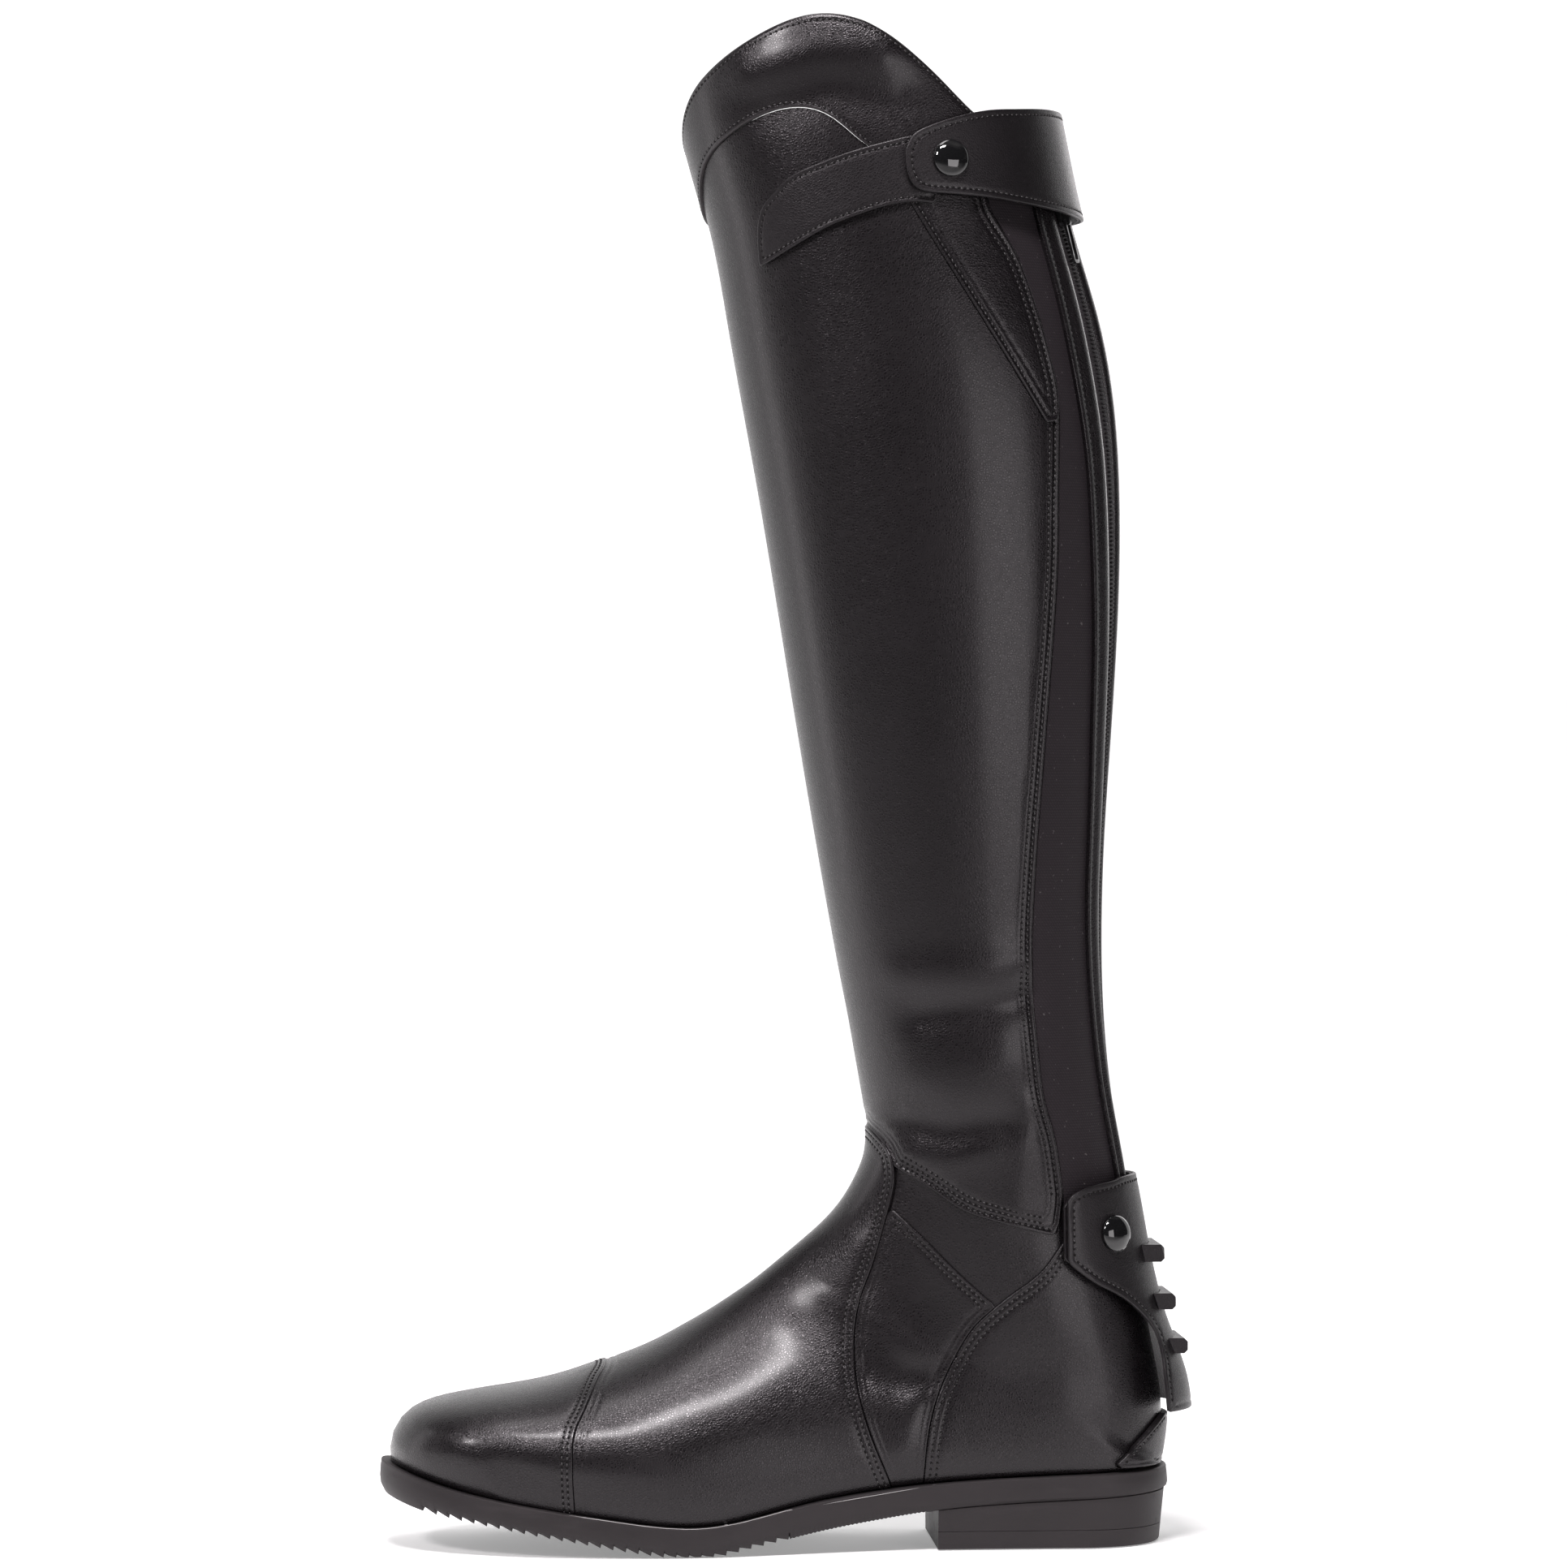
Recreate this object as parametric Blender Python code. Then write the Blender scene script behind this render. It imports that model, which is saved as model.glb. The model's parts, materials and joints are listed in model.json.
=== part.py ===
"""Dress riding boot for the left foot, standing empty on its sole.

The toe points along -X, the outer side of the leg lies towards -Y and +Z is up. The origin is the
middle of the heel's ground face. Tables and sizes are in millimetres; meshes are made in metres.
"""

import math
from typing import NamedTuple

import bmesh
import bpy
import numpy as np

MM = 0.001

# Driving dimensions, in millimetres.
GAP = 0.3  # clearance between two pieces that touch
FEATHER_TOE = -228.0  # front end of the line where the upper meets the sole
FEATHER_HEEL = 38.0
BALL_X = -150.0  # the foot's outline is a superellipse in front of this
HEEL_ROUND_X = 8.0  # and another one behind this
TOE_SQUARENESS = 2.2
HEEL_SQUARENESS = 2.1
TOE_TIP_Y = 3.0  # the toe's point lies on the big toe's side
SOLE_MARGIN = 4.6  # how far the sole stands out past the feather line
SOLE_EDGE = 8.6  # thickness of the sole's side
HEEL_BREAST_X = -40.4
HEEL_PIECE = 6.0  # thickness of the top piece, the lowest layer of the heel
HEEL_INSET = 2.6  # how far the heel block stands back from the sole's edge
COLUMNS = 26  # facets round the upper


class Curve:
    """A smooth curve through rows of (station, value): a cubic spline with natural or level ends."""

    def __init__(self, stations, values, level_ends=False):
        order = np.argsort(stations)
        self.x = np.asarray(stations, float)[order]
        self.y = np.asarray(values, float)[order]
        step, rise = np.diff(self.x), np.diff(self.y)
        count = len(self.x)
        matrix, right = np.eye(count), np.zeros(count)
        for i in range(1, count - 1):
            matrix[i, i - 1 : i + 2] = step[i - 1], 2 * (step[i - 1] + step[i]), step[i]
            right[i] = 6 * (rise[i] / step[i] - rise[i - 1] / step[i - 1])
        if level_ends:
            matrix[0, :2] = 2 * step[0], step[0]
            right[0] = 6 * rise[0] / step[0]
            matrix[-1, -2:] = step[-1], 2 * step[-1]
            right[-1] = -6 * rise[-1] / step[-1]
        self.bend = np.linalg.solve(matrix, right)

    def __call__(self, at):
        at = np.clip(at, self.x[0], self.x[-1])
        i = np.clip(np.searchsorted(self.x, at) - 1, 0, len(self.x) - 2)
        step = self.x[i + 1] - self.x[i]
        a, b = (self.x[i + 1] - at) / step, (at - self.x[i]) / step
        curved = (a**3 - a) * self.bend[i] + (b**3 - b) * self.bend[i + 1]
        return a * self.y[i] + b * self.y[i + 1] + curved * step**2 / 6


class Section(NamedTuple):
    """One cut through the boot, from its back or bottom to its front or top."""

    name: str
    front_x: float
    front_z: float
    back_x: float
    back_z: float  # not read where the section stands on the sole
    outer: float  # largest half width, outer side
    inner: float
    belly: float  # distance from the back or bottom to where the section is widest
    split: float  # share of the facets that lie below the widest place
    crown: float  # roundness of the front or top half: 2 is an ellipse, more is squarer
    base: float  # roundness of the back or bottom half
    ridge: float  # sideways place of the front or top line
    rings: int  # facet rings from here to the next section


ON_SOLE = 0.0
SECTIONS = (
    Section("crest", -133.5, 536, -9.0, 536, 49.0, 48.0, 60, 0.50, 2.05, 2.0, 0, 0),
    Section("collar", -128.0, 495, -0.5, 495, 49.5, 48.5, 62, 0.50, 2.05, 2.0, 0, 0),
    Section("garter", -117.4, 455, 8.3, 455, 50.0, 49.0, 63, 0.50, 2.05, 2.0, 0, 1),
    Section("calf_top", -111.8, 425, 17.0, 425, 50.5, 49.0, 63, 0.50, 2.05, 2.0, 0, 2),
    Section("calf", -101.5, 368, 23.9, 368, 49.5, 48.0, 61, 0.50, 2.05, 2.0, 0, 2),
    Section("calf_low", -92.0, 311, 23.0, 311, 46.5, 45.0, 57, 0.50, 2.05, 2.0, 0, 1),
    Section("shin", -82.6, 254, 19.6, 254, 42.0, 41.0, 51, 0.50, 2.05, 2.0, 0, 1),
    Section("shin_low", -72.8, 199, 18.4, 199, 37.5, 36.5, 46, 0.50, 2.05, 2.0, 0, 1),
    Section("ankle", -65.4, 159, 22.0, 156, 34.5, 33.5, 44, 0.50, 2.05, 2.0, 0, 1),
    Section("throat", -63.1, 139, 25.8, 134, 33.0, 32.0, 45, 0.48, 2.1, 2.0, 0, 1),
    Section("bend_high", -65.6, 129, 29.4, 112, 32.0, 31.0, 46, 0.46, 2.1, 2.0, 0, 1),
    Section("bend", -70.6, 119.7, 33.0, 90, 31.6, 30.6, 47, 0.44, 2.1, 2.05, 0.5, 1),
    Section("bend_low", -77.9, 110.9, 37.4, 66, 31.2, 30.4, 47, 0.42, 2.1, 2.1, 1, 1),
    Section("heel_back", -85.6, 104, 40.2, 45, 31.0, 30.4, 46, 0.40, 2.1, 2.15, 1.5, 2),
    Section("seat", -92.6, 98.1, FEATHER_HEEL, 0, 31.0, 30.4, 44, 0.38, 2.1, 2.2, 2, 2),
    Section("heel", -99.4, 92.5, 27.0, ON_SOLE, 31.2, 30.4, 40, 0.36, 2.1, 2.2, 2.5, 2),
    Section("shank", -108.2, 86.1, 3.0, ON_SOLE, 31.8, 30.2, 34, 0.33, 2.1, 2.2, 3, 1),
    Section("arch", -117.6, 80.0, -30, ON_SOLE, 33.6, 29.6, 29, 0.30, 2.1, 2.1, 3, 2),
    Section("waist", -128.2, 73.9, -65, ON_SOLE, 37.0, 31.0, 24, 0.28, 2.1, 2.0, 3, 2),
    Section("instep", -141.4, 67.2, -97, ON_SOLE, 41.3, 36.0, 20, 0.26, 2.15, 2.0, 3, 2),
    Section("ball", -158.4, 60.9, -125, ON_SOLE, 44.3, 40.3, 18, 0.25, 2.2, 2.0, 3, 1),
    Section("cap_line", -174.2, 55.9, -150, ON_SOLE, 44.5, 41, 16, 0.25, 2.3, 2.0, 3, 1),
    Section("cap", -189.6, 53.0, -172, ON_SOLE, 42.3, 39.2, 14, 0.25, 2.4, 2.0, 3, 1),
    Section("toe_root", -202.8, 50.9, -190, ON_SOLE, 39, 36.7, 13, 0.25, 2.4, 2.0, 3, 1),
    Section("toe_high", -213.8, 48.6, -190, ON_SOLE, 38.7, 36.2, 11, 0.22, 2.4, 2.0, 3, 1),
    Section("toe_round", -222.4, 44.8, -190, ON_SOLE, 38.3, 36, 8, 0.18, 2.35, 2.0, 3, 1),
    Section("toe_front", -227.4, 39.6, -190, ON_SOLE, 38.1, 35.8, 5, 0.13, 2.3, 2.0, 3, 1),
    Section("toe_low", -228.9, 33.9, -190, ON_SOLE, 38, 35.6, 2.5, 0.08, 2.2, 2.0, 3, 1),
    Section("toe_tip", FEATHER_TOE, 28.3, -190, ON_SOLE, 37.8, 35.4, 1, 0.04, 2.2, 2, 3, 0),
)
NAMES = [section.name for section in SECTIONS]

# Height of the sole's upper face, on which the upper stands, and of the tips of its tread.
SOLE_TOP = Curve(
    (-233, -223, -212, -200, -178, -151, -134, -121, -108, -89, -68, -45, 0, 42),
    (29.6, 26.4, 23.2, 20.4, 16.4, 12.2, 10.0, 9.8, 11.7, 16.2, 19.9, 22.5, 25.0, 26.4),
)
TREAD = Curve(
    (-234, -229, -218, -200, -178, -166, -151, -140, -129, -118, -107, -96, -85, -62, -45, 0, 42),
    (19, 17.4, 14.2, 10.9, 7.0, 5.0, 2.3, 0.4, -1.2, -0.8, 2.0, 4.4, 6.8, 10.8, 13.2, 16.4, 18.2),
)
# Half widths of the feather line between the heel's round and the ball.
FEATHER_OUTER = Curve(
    (-150, -125, -100, -72, -45, -15, 8), (43, 42.2, 38.6, 33.4, 29.8, 28.4, 28), True
)
FEATHER_INNER = Curve(
    (-150, -125, -100, -72, -45, -15, 8), (39.5, 37.2, 30.4, 24, 24.6, 27.4, 28), True
)
# Heights of the collar and of its facing's lower edge by the way round the leg: 0 is behind,
# 0.25 outside, 0.5 in front, 0.75 inside.
COLLAR = Curve(
    (0, 0.09, 0.16, 0.19, 0.22, 0.25, 0.29, 0.34, 0.38, 0.44, 0.5, 0.58, 0.68, 0.8, 0.92, 1),
    (491, 490.5, 494.5, 506.2, 517, 524.6, 527, 521, 514, 502.5, 489.5, 479, 473, 475, 486, 491),
)
FACING = Curve(
    (0, 0.15, 0.2, 0.235, 0.266, 0.286, 0.317, 0.35, 0.391, 0.457, 0.5, 0.6, 0.7, 0.8, 0.9, 1),
    (474, 474, 475, 477, 483, 491, 495.5, 493.6, 487.6, 475.5, 465, 459, 457, 460, 468, 474),
)

# How far the layers lie outside the last, in millimetres. 0 is the outside of the shaft's panel.
BASE, BASE_INSIDE = -1.2, -3.4  # the upper itself
UNDER = BASE + GAP  # the inner face of every piece sewn on to it
FACED, FACED_INSIDE = 1.1, -1.4  # the upper where the collar's facing doubles it


class Edge(NamedTuple):
    """A point of a cut line in the side view."""

    x: float
    z: float


VAMP_EDGE = (
    Edge(-64.1, 145), Edge(-58.2, 138.6), Edge(-55.8, 133.5), Edge(-55.4, 124.8),
    Edge(-58.5, 112.2), Edge(-62.7, 97.6), Edge(-67.2, 85.3), Edge(-69.1, 73),
    Edge(-68.4, 57), Edge(-64.2, 40.7), Edge(-57.1, 22.9), Edge(-52, 8),
)
CAP_EDGE = (
    Edge(-151, 72), Edge(-154.4, 63.4), Edge(-157.9, 58.3), Edge(-162.3, 49.4),
    Edge(-166.1, 41.1), Edge(-166.7, 28.5), Edge(-166.1, 17), Edge(-165.6, 5),
)
COUNTER_EDGE = (
    Edge(3, 105.3), Edge(-5, 95.2), Edge(-17.4, 85.9), Edge(-27.9, 76.3),
    Edge(-34.9, 64.9), Edge(-40.4, 52.7), Edge(-43.6, 40.4), Edge(-45.2, 24.9), Edge(-46, 5),
)
QUARTER_EDGE = (Edge(-56.6, 117.9), Edge(-44.3, 106.4), Edge(-34.1, 96.2), Edge(-21.5, 84.8))
ANKLE_SEAM = (
    Edge(1.3, 107.9), Edge(-5, 109.1), Edge(-19.7, 112.9), Edge(-31.9, 117),
    Edge(-44.3, 125.2), Edge(-55, 131.4),
)
REAR_SEAM = (
    Edge(0.9, 389), Edge(0.5, 362), Edge(0, 333.5), Edge(-3.3, 287.2), Edge(-6.5, 245.3),
    Edge(-8.1, 216.7), Edge(-8.3, 202.5), Edge(-7.7, 188.2), Edge(-6.5, 176.1),
    Edge(-4.1, 156.4), Edge(0.3, 140.6), Edge(3.1, 121.2),
)
GUSSET_EDGE = (
    Edge(-25.4, 471), Edge(-23.7, 461.3), Edge(-13.6, 445.2), Edge(-5.7, 423.4), Edge(0.1, 401.4),
)
LEAF = (
    Edge(-102.6, 442.2), Edge(-103.2, 454.1), Edge(-101.7, 461.6), Edge(-97.4, 466.8),
    Edge(-92, 472), Edge(-80.3, 476.9), Edge(-69.3, 480.6), Edge(-51.8, 485.2), Edge(-42, 487),
    Edge(-42, 462), Edge(-49.6, 462.7), Edge(-58.6, 461.5), Edge(-69.3, 458.2), Edge(-80.2, 454),
    Edge(-90.8, 448.1), Edge(-100.4, 442.6),
)
STRAP = (
    Edge(-51, 485), Edge(-46.8, 487.8), Edge(-36.2, 491.8), Edge(-24.5, 494.8),
    Edge(-12.7, 496.2), Edge(3, 498), Edge(30, 499.5), Edge(30, 458.5), Edge(8.9, 460.3),
    Edge(-0.8, 461.6), Edge(-13.3, 463.4), Edge(-24.8, 464.8), Edge(-36.4, 465.4),
    Edge(-46.8, 466.1), Edge(-51.2, 469), Edge(-53, 474), Edge(-53.4, 480),
)
FLAP = (
    Edge(4.3, 120), Edge(6.7, 122.5), Edge(13, 125), Edge(21.8, 126.5), Edge(28.6, 127.9),
    Edge(60, 129), Edge(60, 46), Edge(42.8, 46.4), Edge(42, 65), Edge(40.3, 68.4),
    Edge(36.3, 75.5), Edge(29.7, 82), Edge(23.1, 87.1), Edge(14.6, 91.5), Edge(7.6, 96.3),
    Edge(4.4, 99.2),
)
HEEL_STRIP = (Edge(40.6, 44.4), Edge(22.1, 29), Edge(22.6, 27.2), Edge(60, 27.5), Edge(60, 44.4))


class Rest(NamedTuple):
    """A spur rest: its heights and how far back it reaches."""

    low: float
    high: float
    back: float


RESTS = (Rest(97.6, 103.6, 40.0), Rest(81, 86.6, 43.9), Rest(65.7, 71, 48.1))


class ZipRow(NamedTuple):
    """The outer edge of the zip's facing, by travel from the collar."""

    travel: float
    around: float


ZIP_EDGE = (
    ZipRow(66, 0.106), ZipRow(100, 0.109), ZipRow(121, 0.112), ZipRow(139, 0.11),
    ZipRow(161, 0.104), ZipRow(194, 0.098), ZipRow(230, 0.09), ZipRow(257, 0.086),
    ZipRow(295, 0.08), ZipRow(317, 0.08), ZipRow(352, 0.075), ZipRow(384, 0.069),
    ZipRow(412, 0.06),
)
ZIP_WIDTHS = (0.0, 0.036, 0.076, 0.112)  # outer facing, tape, inner facing: shares of the way round

# Outside of the spur flap by height, and outside of the top strap by way round from behind.
FLAP_LIFT = Curve(
    (45, 50, 57, 65, 71, 79, 87, 100, 115, 130), (10.8, 10.6, 10.1, 8.9, 7.9, 6.6, 5.9, 5.2, 4.9, 4.4)
)
STRAP_LIFT = Curve((-0.14, -0.1, -0.05, 0, 0.06, 0.11, 0.16, 0.26), (3.8, 5.0, 6.0, 6.2, 6.2, 6.0, 5.2, 4.9))
FLAP_THICK, STRAP_THICK = 2.2, 2.4


def feather_half(x, side, margin=0.0):
    """Half width of the foot's outline at x, grown outwards by margin; side is -1 outside, 1 inside."""
    table = FEATHER_OUTER if side < 0 else FEATHER_INNER
    half = table(np.clip(x, BALL_X, HEEL_ROUND_X)) + margin
    tip = side * TOE_TIP_Y
    toe = np.clip((BALL_X - x) / (BALL_X - FEATHER_TOE + margin), 0, 1)
    heel = np.clip((x - HEEL_ROUND_X) / (FEATHER_HEEL - HEEL_ROUND_X + margin), 0, 1)
    toe_share = (1 - toe**TOE_SQUARENESS) ** (1 / TOE_SQUARENESS)
    heel_share = (1 - heel**HEEL_SQUARENESS) ** (1 / HEEL_SQUARENESS)
    return np.where(x < BALL_X, tip + (half - tip) * toe_share, half * heel_share)


def toe_outline(share, side):
    """Points of the feather line from the toe's root (share 0) to its tip (share 1)."""
    power = 2 / TOE_SQUARENESS
    length = BALL_X - FEATHER_TOE
    root = np.arcsin(((BALL_X - SECTIONS[-1].back_x) / length) ** (1 / power))
    angle = root + (math.pi / 2 - root) * share
    x = BALL_X - length * np.sin(angle) ** power
    wide = np.where(side < 0, FEATHER_OUTER(BALL_X), FEATHER_INNER(BALL_X))
    half = side * TOE_TIP_Y + (wide - side * TOE_TIP_Y) * np.cos(angle) ** power
    return np.stack([x, side * half, SOLE_TOP(x) + GAP], -1)


class Last:
    """The boot's outer form as a function of travel (collar to toe) and of the way round."""

    def __init__(self, sections):
        front = np.array([(s.front_x, s.front_z) for s in sections])
        back = np.array([(s.back_x, s.back_z) for s in sections])
        self.seat = NAMES.index("seat")
        self.root = NAMES.index("toe_root")
        back[self.seat :, 1] = SOLE_TOP(back[self.seat :, 0]) + GAP
        moved = np.linalg.norm(np.diff(front, axis=0), axis=1)
        moved += np.linalg.norm(np.diff(back, axis=0), axis=1)
        self.travel = np.concatenate([[0], np.cumsum(moved / 2)])
        self.front = [Curve(self.travel, front[:, k]) for k in (0, 1)]
        high, low = slice(0, self.seat + 1), slice(self.seat, None)
        self.back_high = [Curve(self.travel[high], back[high, k]) for k in (0, 1)]
        self.back_low = Curve(self.travel[low], back[low, 0])
        self.value = {
            name: Curve(self.travel, [getattr(s, name) for s in sections])
            for name in ("outer", "inner", "belly", "split", "crown", "base", "ridge")
        }
        shaft = slice(0, NAMES.index("shin_low"))
        self.travel_at_height = Curve(front[shaft, 1], self.travel[shaft])

    def at(self, name):
        """Travel of a named section."""
        return self.travel[NAMES.index(name)]

    def back(self, travel):
        """Back or bottom points (x, z) of the sections at these travels, and whether they are open."""
        is_open = travel > self.travel[self.seat]
        low_x = self.back_low(travel)
        x = np.where(is_open, low_x, self.back_high[0](travel))
        z = np.where(is_open, SOLE_TOP(low_x) + GAP, self.back_high[1](travel))
        return x, z, is_open

    def point(self, travel, around):
        """Points of the outer form; around runs from 0 at the outer feather, over the top, to 1."""
        travel, around = np.broadcast_arrays(np.asarray(travel, float), around)
        side = np.where(around < 0.5, -1.0, 1.0)
        share = 1 - np.abs(2 * around - 1)
        back_x, back_z, is_open = self.back(travel)
        front_x, front_z = self.front[0](travel), self.front[1](travel)
        length = np.hypot(front_x - back_x, front_z - back_z)
        get = {name: curve(travel) for name, curve in self.value.items()}
        wide = np.where(side < 0, get["outer"], get["inner"])
        halves = [feather_half(back_x, s) for s in (-1, 1)]
        foot = np.where(is_open, np.where(side < 0, halves[0], halves[1]), 0.0)
        ridge = side * get["ridge"]

        low = np.clip(share / get["split"], 0, 1) * math.pi / 2
        high = np.clip((share - get["split"]) / (1 - get["split"]), 0, 1) * math.pi / 2
        base, crown = 2 / get["base"], 2 / get["crown"]
        below = share < get["split"]
        half = np.where(
            below,
            foot + (wide - foot) * np.sin(low) ** base,
            ridge + (wide - ridge) * np.cos(high) ** crown,
        )
        along = np.where(
            below,
            get["belly"] * (1 - np.cos(low) ** base),
            get["belly"] + (length - get["belly"]) * np.sin(high) ** crown,
        )
        made = np.stack(
            [
                back_x + along * (front_x - back_x) / length,
                side * half,
                back_z + along * (front_z - back_z) / length,
            ],
            -1,
        )
        start, end = self.travel[self.root], self.travel[-1]
        turned = np.clip((travel - start) / (end - start), 0, 1)
        turned = (turned * turned * (3 - 2 * turned)) ** (1 + 6 * share**2)
        turned = turned[..., None]
        return made * (1 - turned) + toe_outline(share, side) * turned

    def lifted(self, travel, around, lift):
        """Points of the form moved outwards by lift, along its normal."""
        travel, around = np.broadcast_arrays(np.asarray(travel, float), around)
        ends = (around <= 0) | (around >= 1)
        travel = np.where(ends, np.minimum(travel, self.travel[self.root]), travel)
        step, turn = 0.4, 0.004
        at = np.clip(around, turn, 1 - turn)
        along = self.point(travel + step, at) - self.point(travel - step, at)
        across = self.point(travel, at + turn) - self.point(travel, at - turn)
        normal = np.cross(across, along)
        closed = travel <= self.travel[self.seat]
        behind = (around < turn) | (around > 1 - turn)
        normal[..., 1] = np.where(closed & behind, 0, normal[..., 1])
        spot = self.point(travel, around)
        height = np.clip((spot[..., 2] - SOLE_TOP(spot[..., 0]) - GAP) / 12, 0, 1)
        level = np.maximum(normal[..., 2], 0) * height
        normal[..., 2] = np.where(height < 1, level, normal[..., 2])
        normal /= np.linalg.norm(normal, axis=-1, keepdims=True)
        moved = spot + normal * np.asarray(lift)[..., None]
        moved[..., 2] += (1 - height) * (SOLE_TOP(moved[..., 0]) - SOLE_TOP(spot[..., 0]))
        return moved


LAST = Last(SECTIONS)


AROUND = np.linspace(0, 1, COLUMNS + 1)


def body_rings():
    """Travel of every facet ring from the garter down to the toe."""
    rings = []
    for i, section in enumerate(SECTIONS):
        rings += list(
            LAST.travel[i]
            + (LAST.travel[i + 1 : i + 2] - LAST.travel[i]) * np.arange(section.rings)[:, None]
            / max(section.rings, 1)
        )
    return np.concatenate(rings + [LAST.travel[-1:]])


def full_rows(travels):
    """Rings of one travel each, over all columns."""
    return np.repeat(np.asarray(travels, float)[:, None], COLUMNS + 1, axis=1)


def edge_row(curve, share=0.0, other=None, shift=0.0):
    """A ring that follows a curve of heights, or lies a share of the way to another one."""
    height = curve(AROUND) if other is None else curve(AROUND) * (1 - share) + other(AROUND) * share
    return LAST.travel_at_height(height) + shift


def material(name, colour, roughness, metallic=0.0):
    """A plain Principled material, made once."""
    found = bpy.data.materials.get(name)
    if found:
        return found
    made = bpy.data.materials.new(name)
    made.use_nodes = True
    shader = made.node_tree.nodes["Principled BSDF"]
    shader.inputs["Base Color"].default_value = (*colour, 1)
    shader.inputs["Roughness"].default_value = roughness
    shader.inputs["Metallic"].default_value = metallic
    return made


LEATHER = ("black_leather", (0.022, 0.021, 0.023), 0.42)
LINING = ("lining_leather", (0.10, 0.085, 0.07), 0.7)
RUBBER = ("black_rubber", (0.03, 0.029, 0.03), 0.6)
GLOSS = ("gloss_black", (0.01, 0.01, 0.011), 0.12)
METAL = ("black_metal", (0.05, 0.05, 0.052), 0.35, 0.8)


def solid(name, points, faces, look, smooth=40.0):
    """An object from points in millimetres and faces."""
    mesh = bpy.data.meshes.new(name)
    mesh.from_pydata([tuple(p * MM) for p in np.asarray(points, float)], [], faces)
    work = bmesh.new()
    work.from_mesh(mesh)
    bmesh.ops.remove_doubles(work, verts=work.verts, dist=0.002 * MM)
    bmesh.ops.recalc_face_normals(work, faces=work.faces)
    work.to_mesh(mesh)
    work.free()
    mesh.materials.append(material(*look))
    mesh.shade_smooth()
    mesh.set_sharp_from_angle(angle=math.radians(smooth))
    made = bpy.data.objects.new(name, mesh)
    bpy.context.scene.collection.objects.link(made)
    return made


def shell(name, travel, around, low, high, look):
    """A wall between two lifts of the last, over a grid of rings and columns."""
    travel, around = np.broadcast_arrays(np.asarray(travel, float), around)
    rows, columns = travel.shape
    flat = np.mod(around, 1.0)
    flat = np.where((flat == 0) & (around > 0.5), 1.0, flat)
    sides = [
        LAST.lifted(travel, flat, np.broadcast_to(lift, travel.shape)) for lift in (high, low)
    ]
    whole = around[0, 0] == 0 and around[0, -1] == 1
    index, ids = {}, np.zeros((rows, columns), int)
    for i in range(rows):
        for j in range(columns):
            key = (i, j)
            if whole and j == columns - 1 and travel[i, j] <= LAST.at("seat") + 1e-6:
                key = (i, 0)
            ids[i, j] = index.setdefault(key, len(index))
    count = len(index)
    points = np.zeros((2 * count, 3))
    for i in reversed(range(rows)):
        for j in reversed(range(columns)):
            points[ids[i, j]], points[count + ids[i, j]] = sides[0][i, j], sides[1][i, j]
    sheet = []
    for i in range(rows - 1):
        for j in range(columns - 1):
            a, b, c, d = ids[i, j], ids[i, j + 1], ids[i + 1, j + 1], ids[i + 1, j]
            sheet += [f for f in ([a, b, c], [a, c, d]) if len(set(f)) == 3]
    edges = {(a, b) for f in sheet for a, b in zip(f, f[1:] + f[:1])}
    rim = sorted((a, b) for a, b in edges if (b, a) not in edges)
    faces = [list(f) for f in sheet] + [[count + v for v in f[::-1]] for f in sheet]
    faces += [[b, a, count + a, count + b] for a, b in rim]
    return solid(name, points, faces, look)


def prism(name, outline, y_low=-80.0, y_high=80.0):
    """A side view's outline drawn out along Y."""
    count = len(outline)
    points = [(e.x, y, e.z) for y in (y_low, y_high) for e in outline]
    faces = [list(range(count)), [count + k for k in reversed(range(count))]]
    faces += [[(k + 1) % count, k, count + k, count + (k + 1) % count] for k in range(count)]
    return solid(name, points, faces, LEATHER)


def cut(made, cutter, operation="INTERSECT"):
    """Applies a Boolean and removes the cutter."""
    modifier = made.modifiers.new("cut", "BOOLEAN")
    modifier.operation, modifier.object, modifier.solver = operation, cutter, "EXACT"
    bpy.context.view_layer.update()
    graph = bpy.context.evaluated_depsgraph_get()
    mesh = bpy.data.meshes.new_from_object(made.evaluated_get(graph))
    made.modifiers.clear()
    made.data = mesh
    mesh.materials.clear()
    mesh.materials.append(material(*LEATHER))
    mesh.set_sharp_from_angle(angle=math.radians(40))
    bpy.data.objects.remove(cutter)
    return made


def skin(name, outline, low, high, first, last, y_low=-80.0, y_high=80.0):
    """A piece of leather: a wall over the upper's own facets, cut to a side view's outline."""
    above = LAST.travel_at_height(np.array([507.0, 496.0, 484.0, 470.0]))
    rings = np.concatenate([above, body_rings()])
    keep = (rings >= LAST.at(first) - 1e-6) & (rings <= LAST.at(last) + 1e-6)
    made = shell(name, full_rows(rings[keep]), AROUND[None, :], low, high, LEATHER)
    return cut(made, prism(name + "_cutter", outline, y_low, y_high))


def offset(outline, by):
    """The outline's points moved sideways by a distance, to the left of their direction."""
    points = np.array([(e.x, e.z) for e in outline], float)
    along = np.gradient(points, axis=0)
    along /= np.linalg.norm(along, axis=1, keepdims=True)
    moved = points + by * np.stack([-along[:, 1], along[:, 0]], 1)
    return tuple(Edge(*p) for p in moved)


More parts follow.
